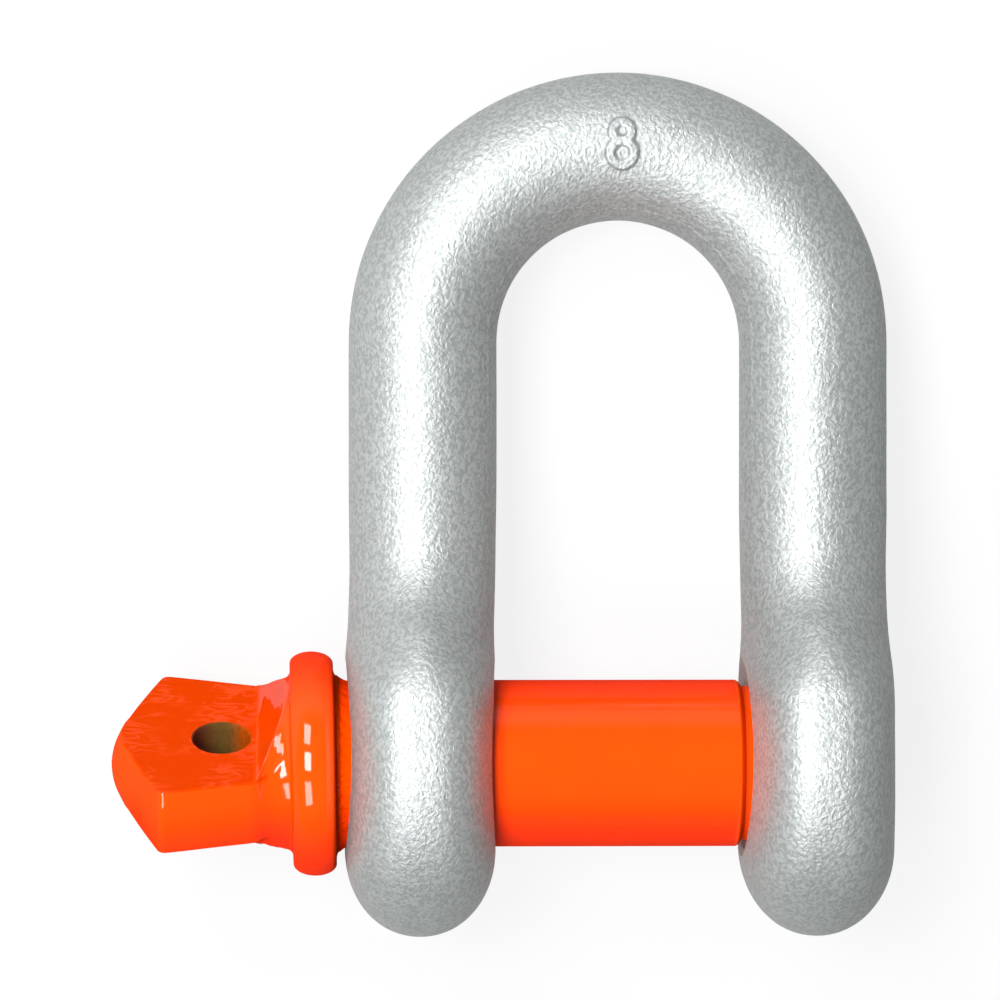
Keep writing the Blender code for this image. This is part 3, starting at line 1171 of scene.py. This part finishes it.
    def plain_eye(self) -> bpy.types.Mesh:
        """What is bored out of the ear beside the head, its lips rounded.

        Returns:
            The cutter's mesh.
        """
        plan = self.plan
        turns = np.arange(self.eye_sides) * FULL_TURN / self.eye_sides
        centre = self.centre_x(0.0)
        reach = plan.plain_eye_radius + self.eye_lip
        face = np.array([self.face_bulge(plan.eye_rise + reach * math.cos(a), reach * math.sin(a))
                         for a in turns])
        stations = [(self.cut_past, self.eye_cut_wider)]
        stations += [(depth * self.eye_lip, width * self.eye_lip) for depth, width in self.eye_curve]
        rings = []
        for outward in (1, -1):
            half = [circle_about_x(-centre - outward * (face + over - self.skin_shrink),
                                   plan.plain_eye_radius + wider, turns, plan.eye_rise)
                    for over, wider in stations]
            rings += half[::outward]
        return skin("plain_eye", rings)

    def threaded_eye(self) -> bpy.types.Mesh:
        """What is bored out of the far ear: mouth, thread and the broken outer edge.

        Returns:
            The cutter's mesh.
        """
        plan = self.plan
        turns = np.arange(self.eye_sides) * FULL_TURN / self.eye_sides
        thread = Thread(plan.thread_radius + plan.thread_clearance)
        mouth = plan.shank_radius + self.mouth_step
        face = self.centre_x(0.0) - np.array([self.face_bulge(mouth * math.cos(a), mouth * math.sin(a))
                                              for a in turns])
        at_face = mouth - (face - plan.ear_inner_x)
        deep = mouth - thread.mean_radius
        stations = [(-self.cut_past, -self.mouth_cut_wider), (-self.mouth_proud, -self.mouth_lip)]
        stations += [(depth * self.mouth_lip, width * self.mouth_lip) for depth, width in self.mouth_curve]
        rings = []
        for under, narrower in stations:
            rise = min(plan.eye_rise, plan.eye_rise * (1 - narrower / deep))
            rings.append(circle_about_x(face + self.skin_shrink + under, at_face - narrower, turns, rise))
        start = plan.ear_inner_x + deep
        for x in np.arange(start, plan.ear_outer_x + self.end_cut_past, thread.pitch / self.thread_steps):
            flare = np.maximum(0.0, x - (plan.ear_outer_x - self.edge_depth))
            edge = thread.mean_radius + self.edge_slope * flare - self.edge_step
            radius = np.maximum(thread.radius(x, turns), edge)
            opening = 1 - ease(x, start, start + self.mouth_fade)
            radius = mix(radius, thread.mean_radius + thread.half_height, opening)
            rings.append(circle_about_x(x, radius, turns))
        return skin("threaded_eye", rings)

    def build(self, rest: Matrix, finish: bpy.types.Material) -> bpy.types.Object:
        """Make the bow, dress it and put it in the frame.

        Args:
            rest: how the shackle's frame lies in the world.
            finish: the material that covers it.

        Returns:
            The finished piece.
        """
        piece = carve("forged_bow", self.body(), [self.plain_eye(), self.threaded_eye()], self.sharp_angle)
        dress(piece, finish, rest)
        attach(piece, "shackle_bow")
        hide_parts("bow")
        return piece


@dataclass
class Pin:
    """The screw pin: head with two flats and a lug hole, collar, shank and threaded end."""

    plan: Plan
    # Collar and its root on the shank
    collar_step: float = 3.79 * MM
    collar_half_width: float = 2.87 * MM
    collar_crowning: float = 1.6 * MM
    collar_lean: float = math.radians(1.2)
    lean_from_stem: float = 2.0 * MM
    root_length: float = 2.3 * MM
    root_step: float = 1.9 * MM
    root_groove: float = 0.3 * MM
    root_groove_span: tuple[float, float] = (0.14 * MM, 0.56 * MM)
    # Neck between the head and the collar
    neck_step: float = 0.10 * MM
    neck_curve: float = 6.4 * MM
    neck_from_stem: float = 2.0 * MM
    neck_front: float = 0.85 * MM
    neck_front_before: float = 1.0 * MM
    neck_front_short: float = 1.2 * MM
    neck_fillet: float = 0.9 * MM
    # Head
    stem_step: float = 1.95 * MM
    stem_length: float = 4.46 * MM
    stem_blend: float = 1.1 * MM
    stem_share: float = 0.7
    flare: float = 2.4 * MM
    flare_length: float = 12.5 * MM
    rim_edge: float = 0.9 * MM
    cone_angle: float = math.radians(63.5)
    tip_radius: float = 8.5 * MM
    tip_edge: float = 2.2 * MM
    # Flats, and the ramps from them up to the neck
    flat_half: float = 4.75 * MM
    flat_turn: float = math.radians(90 - 60.3)
    flat_edge: float = 0.45 * MM
    flat_edge_share: float = 0.4
    least_flat_turn: float = math.radians(20)
    ramp_start: float = 0.27 * MM
    ramp_slope: float = 1.75
    ramp_ease: float = 0.82
    ramp_curve: float = 0.7 * MM
    ramp_bite: float = 0.3 * MM
    ramp_crease: float = 0.2 * MM
    # Lug hole
    hole_radius: float = 3.72 * MM
    hole_from_collar: float = 9.11 * MM
    hole_offset: float = 1.1 * MM
    hole_lip: float = 0.22 * MM
    # Pairs in multiples of the lip: how far out of the flat, how much wider
    hole_curve: tuple[tuple[float, float], ...] = ((2.0, 2.0), (0.0, 1.0), (-0.5, 0.35), (-1.5, 0.0))
    # Share of the radius, number of lobes and starting angle of each wave
    hole_wobble: tuple[tuple[float, int, float], ...] = ((0.012, 3, 1.0), (0.008, 7, 0.0))
    hole_cut_share: float = 1.2
    hole_cut_lips: float = 3.0
    # Shank and threaded end
    shank_reach: float = 0.7 * MM
    shank_chamfer: float = 0.8 * MM
    shank_edge_share: float = 0.3
    relief_length: float = 0.6 * MM
    thread_rise: float = 1.6 * MM
    end_depth: float = 0.6 * MM
    end_chamfer: float = 1.1 * MM
    # Thickness of the paint: waves, ripples on the flats, ribs at the root and ridges on the ramps
    paint_end: tuple[float, float] = (3.0 * MM, 5.0 * MM)
    paint_waves: Waves = Waves(0.02 * MM, 5.0 * MM, 2.0, sunk=1.0)
    head_waves: Waves = Waves(0.0125 * MM, 2.2 * MM, 7.0, sunk=1.0, stretch=(0.5, 1.0, 1.0))
    flow: Waves = Waves(1.0, 1.4 * MM, 9.0, stretch=(0.4, 1.0, 1.0))
    fine_flow: Waves = Waves(0.4, 0.8 * MM, 4.0)
    ripple_height: float = 0.035 * MM
    ripple_sharpness: float = 4.0
    root_ribs: Waves = Waves(0.12 * MM, 0.8 * MM, 5.0, sunk=1.0, stretch=(0.4, 1.0, 1.0))
    ramp_ridges: Waves = Waves(0.08 * MM, 0.7 * MM, 6.0, sunk=0.6)
    ridge_run: tuple[float, float] = (0.95, 0.31)
    ridge_draw: float = 0.25
    flat_reach: tuple[float, float] = (0.02 * MM, 0.1 * MM)
    ramp_clear: float = 0.6 * MM
    ramp_fade: float = 1.5 * MM
    soft_edge: float = 0.4 * MM
    # Fineness of the surface
    flat_points: int = 34
    edge_points: int = 6
    arc_points: int = 26
    cap_stations: int = 10
    cone_stations: int = 28
    bend_steps: int = 8
    flare_stations: int = 36
    neck_stations: int = 12
    collar_stations: int = 34
    root_stations: int = 40
    shank_stations: int = 60
    chamfer_steps: int = 6
    thread_steps: int = 16
    hole_sides: int = 96
    sharp_angle: float = math.radians(50)

    @property
    def collar_x(self) -> float:
        """Middle of the collar."""
        return self.plan.collar_seat_x - self.collar_half_width

    @property
    def collar_back_x(self) -> float:
        """The collar's face towards the head."""
        return self.collar_x - self.collar_half_width

    @property
    def stem_x(self) -> float:
        """Where the flared stem meets the neck and the flats meet their ramps."""
        return self.collar_back_x - self.stem_length

    @property
    def rim_x(self) -> float:
        """Where the flare ends and the end cone starts."""
        return self.stem_x - self.flare_length

    @property
    def hole_x(self) -> float:
        """Place of the lug hole along the pin."""
        return self.collar_back_x - self.hole_from_collar

    @property
    def neck_radius(self) -> float:
        """Radius of the neck's waist between the stem and the collar."""
        return self.plan.shank_radius + self.neck_step

    @property
    def shank_end_x(self) -> float:
        """Where the plain shank ends, just before the far ear."""
        return self.plan.ear_inner_x - self.shank_reach

    @property
    def stem_radius(self) -> float:
        """Radius of the stem where the flare starts."""
        return self.plan.shank_radius + self.stem_step

    @property
    def rim_radius(self) -> float:
        """Radius of the head's rim."""
        return self.stem_radius + self.flare

    @property
    def tip_x(self) -> float:
        """Place of the head's very tip.

        Returns:
            The place along the pin.
        """
        cap = self.tip_radius * math.cos(self.cone_angle)
        cone = (self.rim_radius - cap) / math.tan(self.cone_angle)
        return self.rim_x - cone - self.tip_radius * (1 - math.sin(self.cone_angle))

    def head_profile(self) -> list[tuple[float, float]]:
        """Stations of the head, as (x, radius), from its tip to the collar.

        Returns:
            The stations, in order along the pin.
        """
        turns = np.linspace(0.0, math.pi / 2 - self.cone_angle, self.cap_stations)[1:]
        cap = [(self.tip_x + self.tip_radius * (1 - math.cos(a)), self.tip_radius * math.sin(a))
               for a in turns]
        cone_foot = (self.rim_x - self.rim_edge * math.cos(self.cone_angle),
                     self.rim_radius - self.rim_edge * math.sin(self.cone_angle))
        cone = [tuple(point) for point in np.linspace(cap[-1], cone_foot, self.cone_stations)[1:-1]]
        flare_top = (self.rim_x + self.rim_edge,
                     self.rim_radius - self.flare * self.rim_edge / self.flare_length)
        rim = rounded(cone_foot, (self.rim_x, self.rim_radius), flare_top, self.bend_steps)
        fall = self.flare / self.flare_length
        stem_top = (self.stem_x - self.stem_blend, self.stem_radius + fall * self.stem_blend)
        flare = [tuple(point) for point in np.linspace(flare_top, stem_top, self.flare_stations)[1:-1]]
        waist = (self.stem_x + self.neck_from_stem, self.neck_radius)
        middle = (mix(stem_top[0], waist[0], 0.5), mix(stem_top[1], waist[1], 0.5))
        share = self.stem_share
        shoulder = (mix(stem_top[0], middle[0], share),
                    stem_top[1] - fall * share * (middle[0] - stem_top[0]))
        stem = rounded(stem_top, shoulder, middle, self.bend_steps)[:-1]
        stem += rounded(middle, (mix(waist[0], middle[0], share), waist[1]), waist, self.bend_steps)
        return cap + cone + rim + flare + stem + self.neck_profile(waist[0])

    def neck_profile(self, waist_x: float) -> list[tuple[float, float]]:
        """Stations of the neck from its waist out to the collar, with the fillet at its foot.

        Args:
            waist_x: the place of the neck's waist.

        Returns:
            The stations, in order along the pin.
        """
        fillet_x = self.collar_back_x - self.neck_fillet
        turn = math.atan((fillet_x - waist_x) / self.neck_curve)
        neck_end = fillet_x + self.neck_fillet * math.sin(turn)
        neck = [(x, self.neck_radius + (x - waist_x) ** 2 / (2 * self.neck_curve))
                for x in np.linspace(waist_x, neck_end, self.neck_stations)[1:]]
        foot = neck[-1][1] - self.neck_fillet * (1 - math.cos(turn))
        return neck + [
            (fillet_x + self.neck_fillet * math.sin(a), foot + self.neck_fillet * (1 - math.cos(a)))
            for a in np.linspace(turn, math.pi / 2, self.bend_steps)[1:]]

    def collar_profile(self) -> list[tuple[float, float]]:
        """Stations of the collar's crowned rim and its root on the shank.

        Returns:
            The stations, in order along the pin.
        """
        seat = self.plan.collar_seat_x
        top = self.plan.shank_radius + self.collar_step
        rim = [(self.collar_x - self.collar_half_width * math.cos(a),
                top - self.collar_crowning * (1 - math.sin(a)))
               for a in np.linspace(0, math.pi, self.collar_stations)]
        root = [(seat + self.root_length * (1 - math.cos(a)),
                 self.plan.shank_radius + self.root_step * (1 - math.sin(a)))
                for a in np.linspace(0, math.pi / 2, self.root_stations)]
        start, end = (seat + reach for reach in self.root_groove_span)
        return rim + [(x, radius - self.root_groove * (1 - ease(x, start, end))) for x, radius in root]

    def shank_profile(self) -> list[tuple[float, float]]:
        """Stations of the plain shank, its chamfer and the relief before the thread.

        Returns:
            The stations, in order along the pin.
        """
        plan = self.plan
        start, end = plan.collar_seat_x + self.root_length, self.shank_end_x
        shank = [(x, plan.shank_radius) for x in np.linspace(start, end, self.shank_stations)[1:]]
        corner = (end + self.shank_edge_share * self.shank_chamfer, plan.shank_radius)
        foot = (end + self.shank_chamfer, plan.thread_radius)
        return shank[:-1] + rounded((end, plan.shank_radius), corner, foot, self.chamfer_steps)

    def half_flat(self, x: float) -> float:
        """Half of the distance between the flats, or the ramps above them, at a station.

        Args:
            x: a place along the pin.

        Returns:
            The half distance.
        """
        if x > self.collar_back_x + self.ramp_bite:
            return math.inf
        past = x - self.stem_x + self.ramp_start
        risen = (past + math.hypot(past, self.ramp_crease)) / 2
        eased = self.ramp_ease * self.ramp_curve * (1 - math.exp(-risen / self.ramp_curve))
        return self.flat_half + risen * self.ramp_slope - eased

    def front_radius(self, x: float) -> float:
        """How far the forged neck reaches to the front and the back, 0 where the pin is round.

        Args:
            x: a place along the pin.

        Returns:
            The reach.
        """
        start, end = self.stem_x - self.neck_front_before, self.collar_back_x - self.neck_front_short
        if not start < x < self.collar_back_x:
            return 0.0
        line = self.stem_radius + self.flare / self.flare_length * (self.stem_x - x)
        return mix(line, self.plan.shank_radius + self.neck_front, float(ease(x, start, end)))

    def cut_quarter(self, x: float, radius: float, half: float) -> list[tuple[float, float]]:
        """A quarter of a ring that the flat cuts: flat, rounded corner and arc.

        Args:
            x: its place along the pin.
            radius: the circle's radius.
            half: half of the distance between the flats.

        Returns:
            Its points, as (towards the flat, along the flat) pairs.
        """
        edge_turn = math.acos(half / radius)
        far = radius * math.sin(edge_turn)
        edge = mix(self.tip_edge, self.flat_edge, ease(x, self.tip_x, self.rim_x))
        edge = min(edge, self.flat_edge_share * far)
        past = edge_turn + edge / radius
        flat = [(half, v) for v in np.linspace(0.0, far - edge, self.flat_points + 1)[:-1]]
        corner = rounded((half, far - edge), (half, far), (radius * math.cos(past), radius * math.sin(past)),
                         self.edge_points)[:-1]
        arc = np.linspace(past, math.pi / 2, self.arc_points + 1)
        return flat + corner + [(radius * math.cos(a), radius * math.sin(a)) for a in arc]

    def round_quarter(self, x: float, radius: float, half: float) -> list[tuple[float, float]]:
        """A quarter of a ring that is round, or nearly, with as many points as a cut one.

        Args:
            x: its place along the pin.
            radius: the circle's radius.
            half: half of the distance between the flats.

        Returns:
            Its points, as (towards the flat, along the flat) pairs.
        """
        spread = mix(self.least_flat_turn, math.pi / 4, float(ease(x, self.collar_back_x, self.collar_x)))
        edge = self.flat_edge / max(radius, self.flat_edge)
        turns = np.concatenate([np.linspace(0, spread - edge / 2, self.flat_points + 1)[:-1],
                                np.linspace(spread - edge / 2, spread + edge / 2, self.edge_points + 1)[:-1],
                                np.linspace(spread + edge / 2, math.pi / 2, self.arc_points + 1)])
        reach = np.minimum(radius, half / np.maximum(np.cos(turns), TINY)) if half < math.inf else radius
        return list(zip(reach * np.cos(turns), reach * np.sin(turns)))

    def ring(self, x: float, radius: float) -> np.ndarray:
        """A ring of the pin: a circle, cut by the two flats on the head, its edges rounded by paint.

        Args:
            x: its place along the pin.
            radius: the circle's radius.

        Returns:
            Its points.
        """
        half = self.half_flat(x)
        quarter = self.cut_quarter if half < radius * math.cos(self.least_flat_turn) else self.round_quarter
        q = np.array(quarter(x, radius, half))
        swell = max(0.0, self.front_radius(x) / radius - 1)
        q[:, 1] *= 1 + swell * (q[:, 1] / np.hypot(*q.T)) ** 4
        ring = np.concatenate([q, q[-2::-1] * (-1, 1), q[1:] * (-1, -1), q[-2:0:-1] * (1, -1)])
        return self.turned_to_flats(x, ring)

    def turned_to_flats(self, x: float | np.ndarray, points: np.ndarray) -> np.ndarray:
        """Turn points drawn towards and along the flats to where those face.

        Args:
            x: their place along the pin.
            points: (towards the flat, along the flat) pairs.

        Returns:
            The points in the shackle's frame.
        """
        c, s = math.cos(self.flat_turn), math.sin(self.flat_turn)
        towards, along = points.T
        return np.stack([x * np.ones_like(towards), towards * c - along * s, towards * s + along * c], 1)

    def thread_rings(self) -> list[np.ndarray]:
        """Rings of the threaded end, running out at the relief and at the end chamfer.

        Returns:
            The rings.
        """
        plan = self.plan
        thread = Thread(plan.thread_radius)
        start = self.shank_end_x + self.shank_chamfer + self.relief_length
        end = plan.ear_outer_x - self.end_depth
        unit = self.ring(end, 1.0)
        turns = np.arctan2(unit[:, 2], unit[:, 1])
        rings = []
        for x in np.append(np.arange(start, end, thread.pitch / self.thread_steps), end):
            swell = ease(x, start, start + self.thread_rise)
            chamfer = plan.thread_radius + thread.half_height - np.maximum(0.0, x - (end - self.end_chamfer))
            radius = np.minimum(mix(plan.thread_radius, thread.radius(x, turns), swell), chamfer)
            rings.append(circle_about_x(x, radius, turns))
        return rings

    def paint_heights(self, points: np.ndarray) -> np.ndarray:
        """How far the paint's surface lies above the plain form; mostly it lies below.

        Args:
            points: the body's points, one row for each.

        Returns:
            One height for each point.
        """
        x, y, z = points.T
        seat, back = self.plan.collar_seat_x, self.collar_back_x
        painted = 1 - ease(x, *(seat + reach for reach in self.paint_end))
        on_head = 1 - ease(x, self.stem_x, back)
        facing = np.abs(y * math.cos(self.flat_turn) + z * math.sin(self.flat_turn))
        on_flat = on_head * (1 - ease(np.abs(facing - self.flat_half), *self.flat_reach))
        at_root = ease(x, seat, seat + self.soft_edge) * painted
        on_ramp = ease(x, self.stem_x, self.stem_x + self.soft_edge)
        on_ramp = on_ramp * (1 - ease(x, back - self.ramp_fade, back))
        on_ramp = on_ramp * ease(facing, self.flat_half, self.flat_half + self.ramp_clear)
        flow = self.flow.at(points) + self.fine_flow.at(points)
        crests = np.maximum(0.0, 1 - self.ripple_sharpness * np.abs(flow))
        run, rise = self.ridge_run
        slanted = np.stack([run * x - rise * y, (rise * x + run * y) * self.ridge_draw, 0 * x], 1)
        heights = painted * self.paint_waves.at(points) + on_head * self.head_waves.at(points)
        heights += on_flat * self.ripple_height * (crests - 1)
        return heights + at_root * self.root_ribs.at(points) + on_ramp * self.ramp_ridges.at(slanted)

    def body(self) -> bpy.types.Mesh:
        """The pin before its lug hole is made.

        Returns:
            The mesh.
        """
        stations = self.head_profile() + self.collar_profile() + self.shank_profile()
        rings = [np.array([[self.tip_x, 0.0, 0.0]])]
        rings += [self.ring(x, radius) for x, radius in stations]
        rings += self.thread_rings()
        rings.append(np.array([[rings[-1][0, 0], 0.0, 0.0]]))
        mesh = skin("pin_body", rings)
        raise_skin(mesh, self.paint_heights(points_of(mesh)))
        self.lean_collar(mesh)
        return mesh

    def lean_collar(self, mesh: bpy.types.Mesh) -> None:
        """Set the forged collar a little out of square.

        Args:
            mesh: the pin's body.
        """
        points = points_of(mesh)
        x, y = points[:, 0], points[:, 1]
        share = ease(x, self.stem_x + self.lean_from_stem, self.collar_back_x)
        share = share * (1 - ease(x, self.plan.collar_seat_x, self.plan.collar_seat_x + self.root_length))
        points[:, 0] = x - math.tan(self.collar_lean) * y * share
        mesh.vertices.foreach_set("co", points.ravel())
        mesh.update()

    def lug_hole(self) -> bpy.types.Mesh:
        """What is drilled through both flats, its lips worn round.

        Returns:
            The cutter's mesh.
        """
        turns = np.arange(self.hole_sides) * FULL_TURN / self.hole_sides
        rough = 1 + sum(share * np.sin(lobes * turns + start) for share, lobes, start in self.hole_wobble)
        lip = self.hole_lip
        half = [(self.hole_cut_share * self.rim_radius, self.hole_cut_lips * lip)]
        half += [(self.flat_half + depth * lip, width * lip) for depth, width in self.hole_curve]
        rings = []
        for height, wider in half + [(-height, wider) for height, wider in half[::-1]]:
            radius = (self.hole_radius + wider) * rough
            pairs = np.stack([height * np.ones_like(turns), self.hole_offset + radius * np.sin(turns)], 1)
            rings.append(self.turned_to_flats(self.hole_x + radius * np.cos(turns), pairs))
        return skin("lug_hole", rings)

    def build(self, rest: Matrix, finish: bpy.types.Material) -> bpy.types.Object:
        """Make the pin, dress it and put it in the frame.

        Args:
            rest: how the shackle's frame lies in the world.
            finish: the material that covers it.

        Returns:
            The finished piece.
        """
        piece = carve("painted_pin", self.body(), [self.lug_hole()], self.sharp_angle)
        dress(piece, finish, rest)
        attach(piece, "pin")
        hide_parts("screw_pin")
        return piece


@dataclass(frozen=True)
class Softbox:
    """An oblong studio lamp that points at the shackle."""

    name: str
    place: tuple[float, float, float]
    width: float
    height: float
    watts: float


@dataclass
class Studio:
    """Floor, lamps, surroundings and camera, placed in the shackle's own frame."""

    rest: Matrix
    # Floor, to the eye and in a gloss, and how much of its gloss is lost; places are from the pin's axis
    floor_width: float = 6.0
    floor_colour: tuple[float, float, float] = (0.65, 0.65, 0.65)
    floor_glow: float = 0.85
    floor_gloss: float = 0.45
    gloss_loss_below: float = 0.35
    gloss_loss_above: float = 0.3
    gloss_loss_right: float = 0.45
    above_range: tuple[float, float] = (-10.0 * MM, 10.0 * MM)
    right_range: tuple[float, float] = (30.0 * MM, 50.0 * MM)
    # Surroundings: light from them, their brightness in a gloss, and where each side turns to the next
    ambient: float = 0.18
    ceiling: float = 0.06
    left_side: float = 0.88
    right_side: float = 0.6
    low_side: float = 0.6
    side_turn: tuple[float, float] = (-0.2, 0.8)
    low_turn: tuple[float, float] = (0.1, -0.6)
    ceiling_turn: tuple[float, float] = (0.15, 0.65)
    # Camera and lamps
    middle: tuple[float, float, float] = (-15.0 * MM, 30.0 * MM, 0.0)
    eye: tuple[float, float, float] = (-40.26 * MM, 34.62 * MM, 723.7 * MM)
    aim: tuple[float, float, float] = (-15.53 * MM, 34.62 * MM, 0.0)
    pixels_per_metre: float = 7600.0
    picture_width: float = 1000.0
    sensor_width: float = 36.0
    nearest_view: float = 10.0 * MM
    lamps: tuple[Softbox, ...] = (
        Softbox("key_lamp", (-235 * MM, 60 * MM, 710 * MM), 240 * MM, 230 * MM, 4.7),
        Softbox("top_lamp", (-235 * MM, 400 * MM, 620 * MM), 250 * MM, 270 * MM, 3.4),
        Softbox("low_lamp", (-235 * MM, -350 * MM, 630 * MM), 250 * MM, 320 * MM, 3.3),
    )

    def add_floor(self) -> None:
        """A wide pale floor that shows white and keeps the shadow."""
        half = self.floor_width / 2
        mesh = bpy.data.meshes.new("floor")
        corners = [(-half, -half, 0), (half, -half, 0), (half, half, 0), (-half, half, 0)]
        mesh.from_pydata(corners, [], [(0, 1, 2, 3)])
        floor = bpy.data.objects.new("floor", mesh)
        bpy.context.scene.collection.objects.link(floor)
        material, recipe = new_finish("pale_floor")
        lit = recipe.add("ShaderNodeBsdfDiffuse", sockets={"Color": (*self.floor_colour, 1.0)})
        glow = recipe.add("ShaderNodeEmission", sockets={"Color": WHITE, "Strength": 1.0})
        shown, mirrored = self.rays(recipe)
        share = (shown * self.floor_glow).or_more(mirrored * self.floor_gloss)
        surface = recipe.add("ShaderNodeMixShader", sockets={0: share, 1: lit, 2: glow})
        dark = recipe.add("ShaderNodeEmission", sockets={"Color": BLACK, "Strength": 0.0})
        right, up, _ = recipe.parts(recipe.place(self.rest))
        above = self.gloss_loss_above - self.gloss_loss_below
        loss = self.gloss_loss_below + above * recipe.fade(up, *self.above_range)
        loss = loss.or_more(self.gloss_loss_right * recipe.fade(right, *self.right_range))
        surface = recipe.add("ShaderNodeMixShader", sockets={0: mirrored * loss, 1: surface, 2: dark})
        recipe.add("ShaderNodeOutputMaterial", sockets={"Surface": surface})
        mesh.materials.append(material)

    @staticmethod
    def rays(recipe: Recipe) -> tuple[Wire, Wire]:
        """1 for rays that the eye sees straight, and 1 for those that it sees in a gloss.

        Args:
            recipe: the tree that asks.

        Returns:
            Both values.
        """
        path = recipe.add("ShaderNodeLightPath").socket.node
        camera, glossy, clear = (Wire(recipe, path.outputs[name])
                                 for name in ("Is Camera Ray", "Is Glossy Ray", "Is Transmission Ray"))
        return camera.or_more(clear), glossy

    def add_surroundings(self) -> None:
        """White all round to the eye, dimmer in a gloss under a dim ceiling, and a faint light from them."""
        world = bpy.data.worlds.new("studio")
        bpy.context.scene.world = world
        world.use_nodes = True
        recipe = Recipe(world.node_tree)
        shown, mirrored = self.rays(recipe)
        right, back, up = recipe.parts(recipe.add("ShaderNodeTexCoord", output="Generated"))
        walls = self.left_side - (self.left_side - self.right_side) * recipe.fade(right, *self.side_turn)
        walls = walls * (1.0 - (1.0 - self.low_side) * recipe.fade(back, *self.low_turn))
        overhead = recipe.fade(up, *self.ceiling_turn)
        in_gloss = mirrored * (walls + (self.ceiling - walls) * overhead)
        strength = shown.or_more(in_gloss).or_more(self.ambient)
        backdrop = recipe.add("ShaderNodeBackground", sockets={"Color": WHITE, "Strength": strength})
        recipe.add("ShaderNodeOutputWorld", sockets={"Surface": backdrop})

    def add_lamps(self) -> None:
        """The soft lamps, each turned to the shackle's middle."""
        target = self.rest @ Vector(self.middle)
        for lamp in self.lamps:
            data = bpy.data.lights.new(lamp.name, "AREA")
            data.shape = "RECTANGLE"
            data.size, data.size_y = lamp.width, lamp.height
            data.energy = lamp.watts
            item = bpy.data.objects.new(lamp.name, data)
            item.matrix_world = self.facing(self.rest @ Vector(lamp.place), target)
            bpy.context.scene.collection.objects.link(item)

    def facing(self, eye: Vector, aim: Vector) -> Matrix:
        """How a lamp or camera stands that looks from one point at another.

        Args:
            eye: where it stands.
            aim: what it looks at.

        Returns:
            Its matrix, upright along the shackle's Y.
        """
        back = (eye - aim).normalized()
        right = (self.rest.to_3x3() @ Vector((0.0, 1.0, 0.0))).cross(back).normalized()
        turn = Matrix((right, back.cross(right), back)).transposed()
        return Matrix.Translation(eye) @ turn.to_4x4()

    def add_camera(self) -> None:
        """The camera over the shackle, square to the plane of the bow."""
        eye, aim = self.rest @ Vector(self.eye), self.rest @ Vector(self.aim)
        data = bpy.data.cameras.new("camera")
        data.sensor_width = self.sensor_width
        data.lens = data.sensor_width * self.pixels_per_metre * (aim - eye).length / self.picture_width
        data.clip_start = self.nearest_view
        camera = bpy.data.objects.new("camera", data)
        camera.matrix_world = self.facing(eye, aim)
        bpy.context.scene.collection.objects.link(camera)
        bpy.context.scene.camera = camera

    def build(self) -> None:
        """Set up the whole studio."""
        bpy.context.scene.view_settings.view_transform = "Standard"
        self.add_floor()
        self.add_surroundings()
        self.add_lamps()
        self.add_camera()


def main() -> None:
    """Dress the shackle and set up the studio round it."""
    logging.basicConfig(level=logging.INFO, format="%(name)s: %(message)s")
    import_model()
    plan = Plan()
    pin = Pin(plan)
    rest = plan.rest(pin.tip_x)
    for piece in (Bow(plan).build(rest, Galvanised().material(rest)),
                  pin.build(rest, OrangePaint().material(rest, plan, pin))):
        log.info("%s: %d faces", piece.name, len(piece.data.polygons))
    Studio(rest).build()
    log.info("studio ready")


if __name__ == "__main__":
    main()
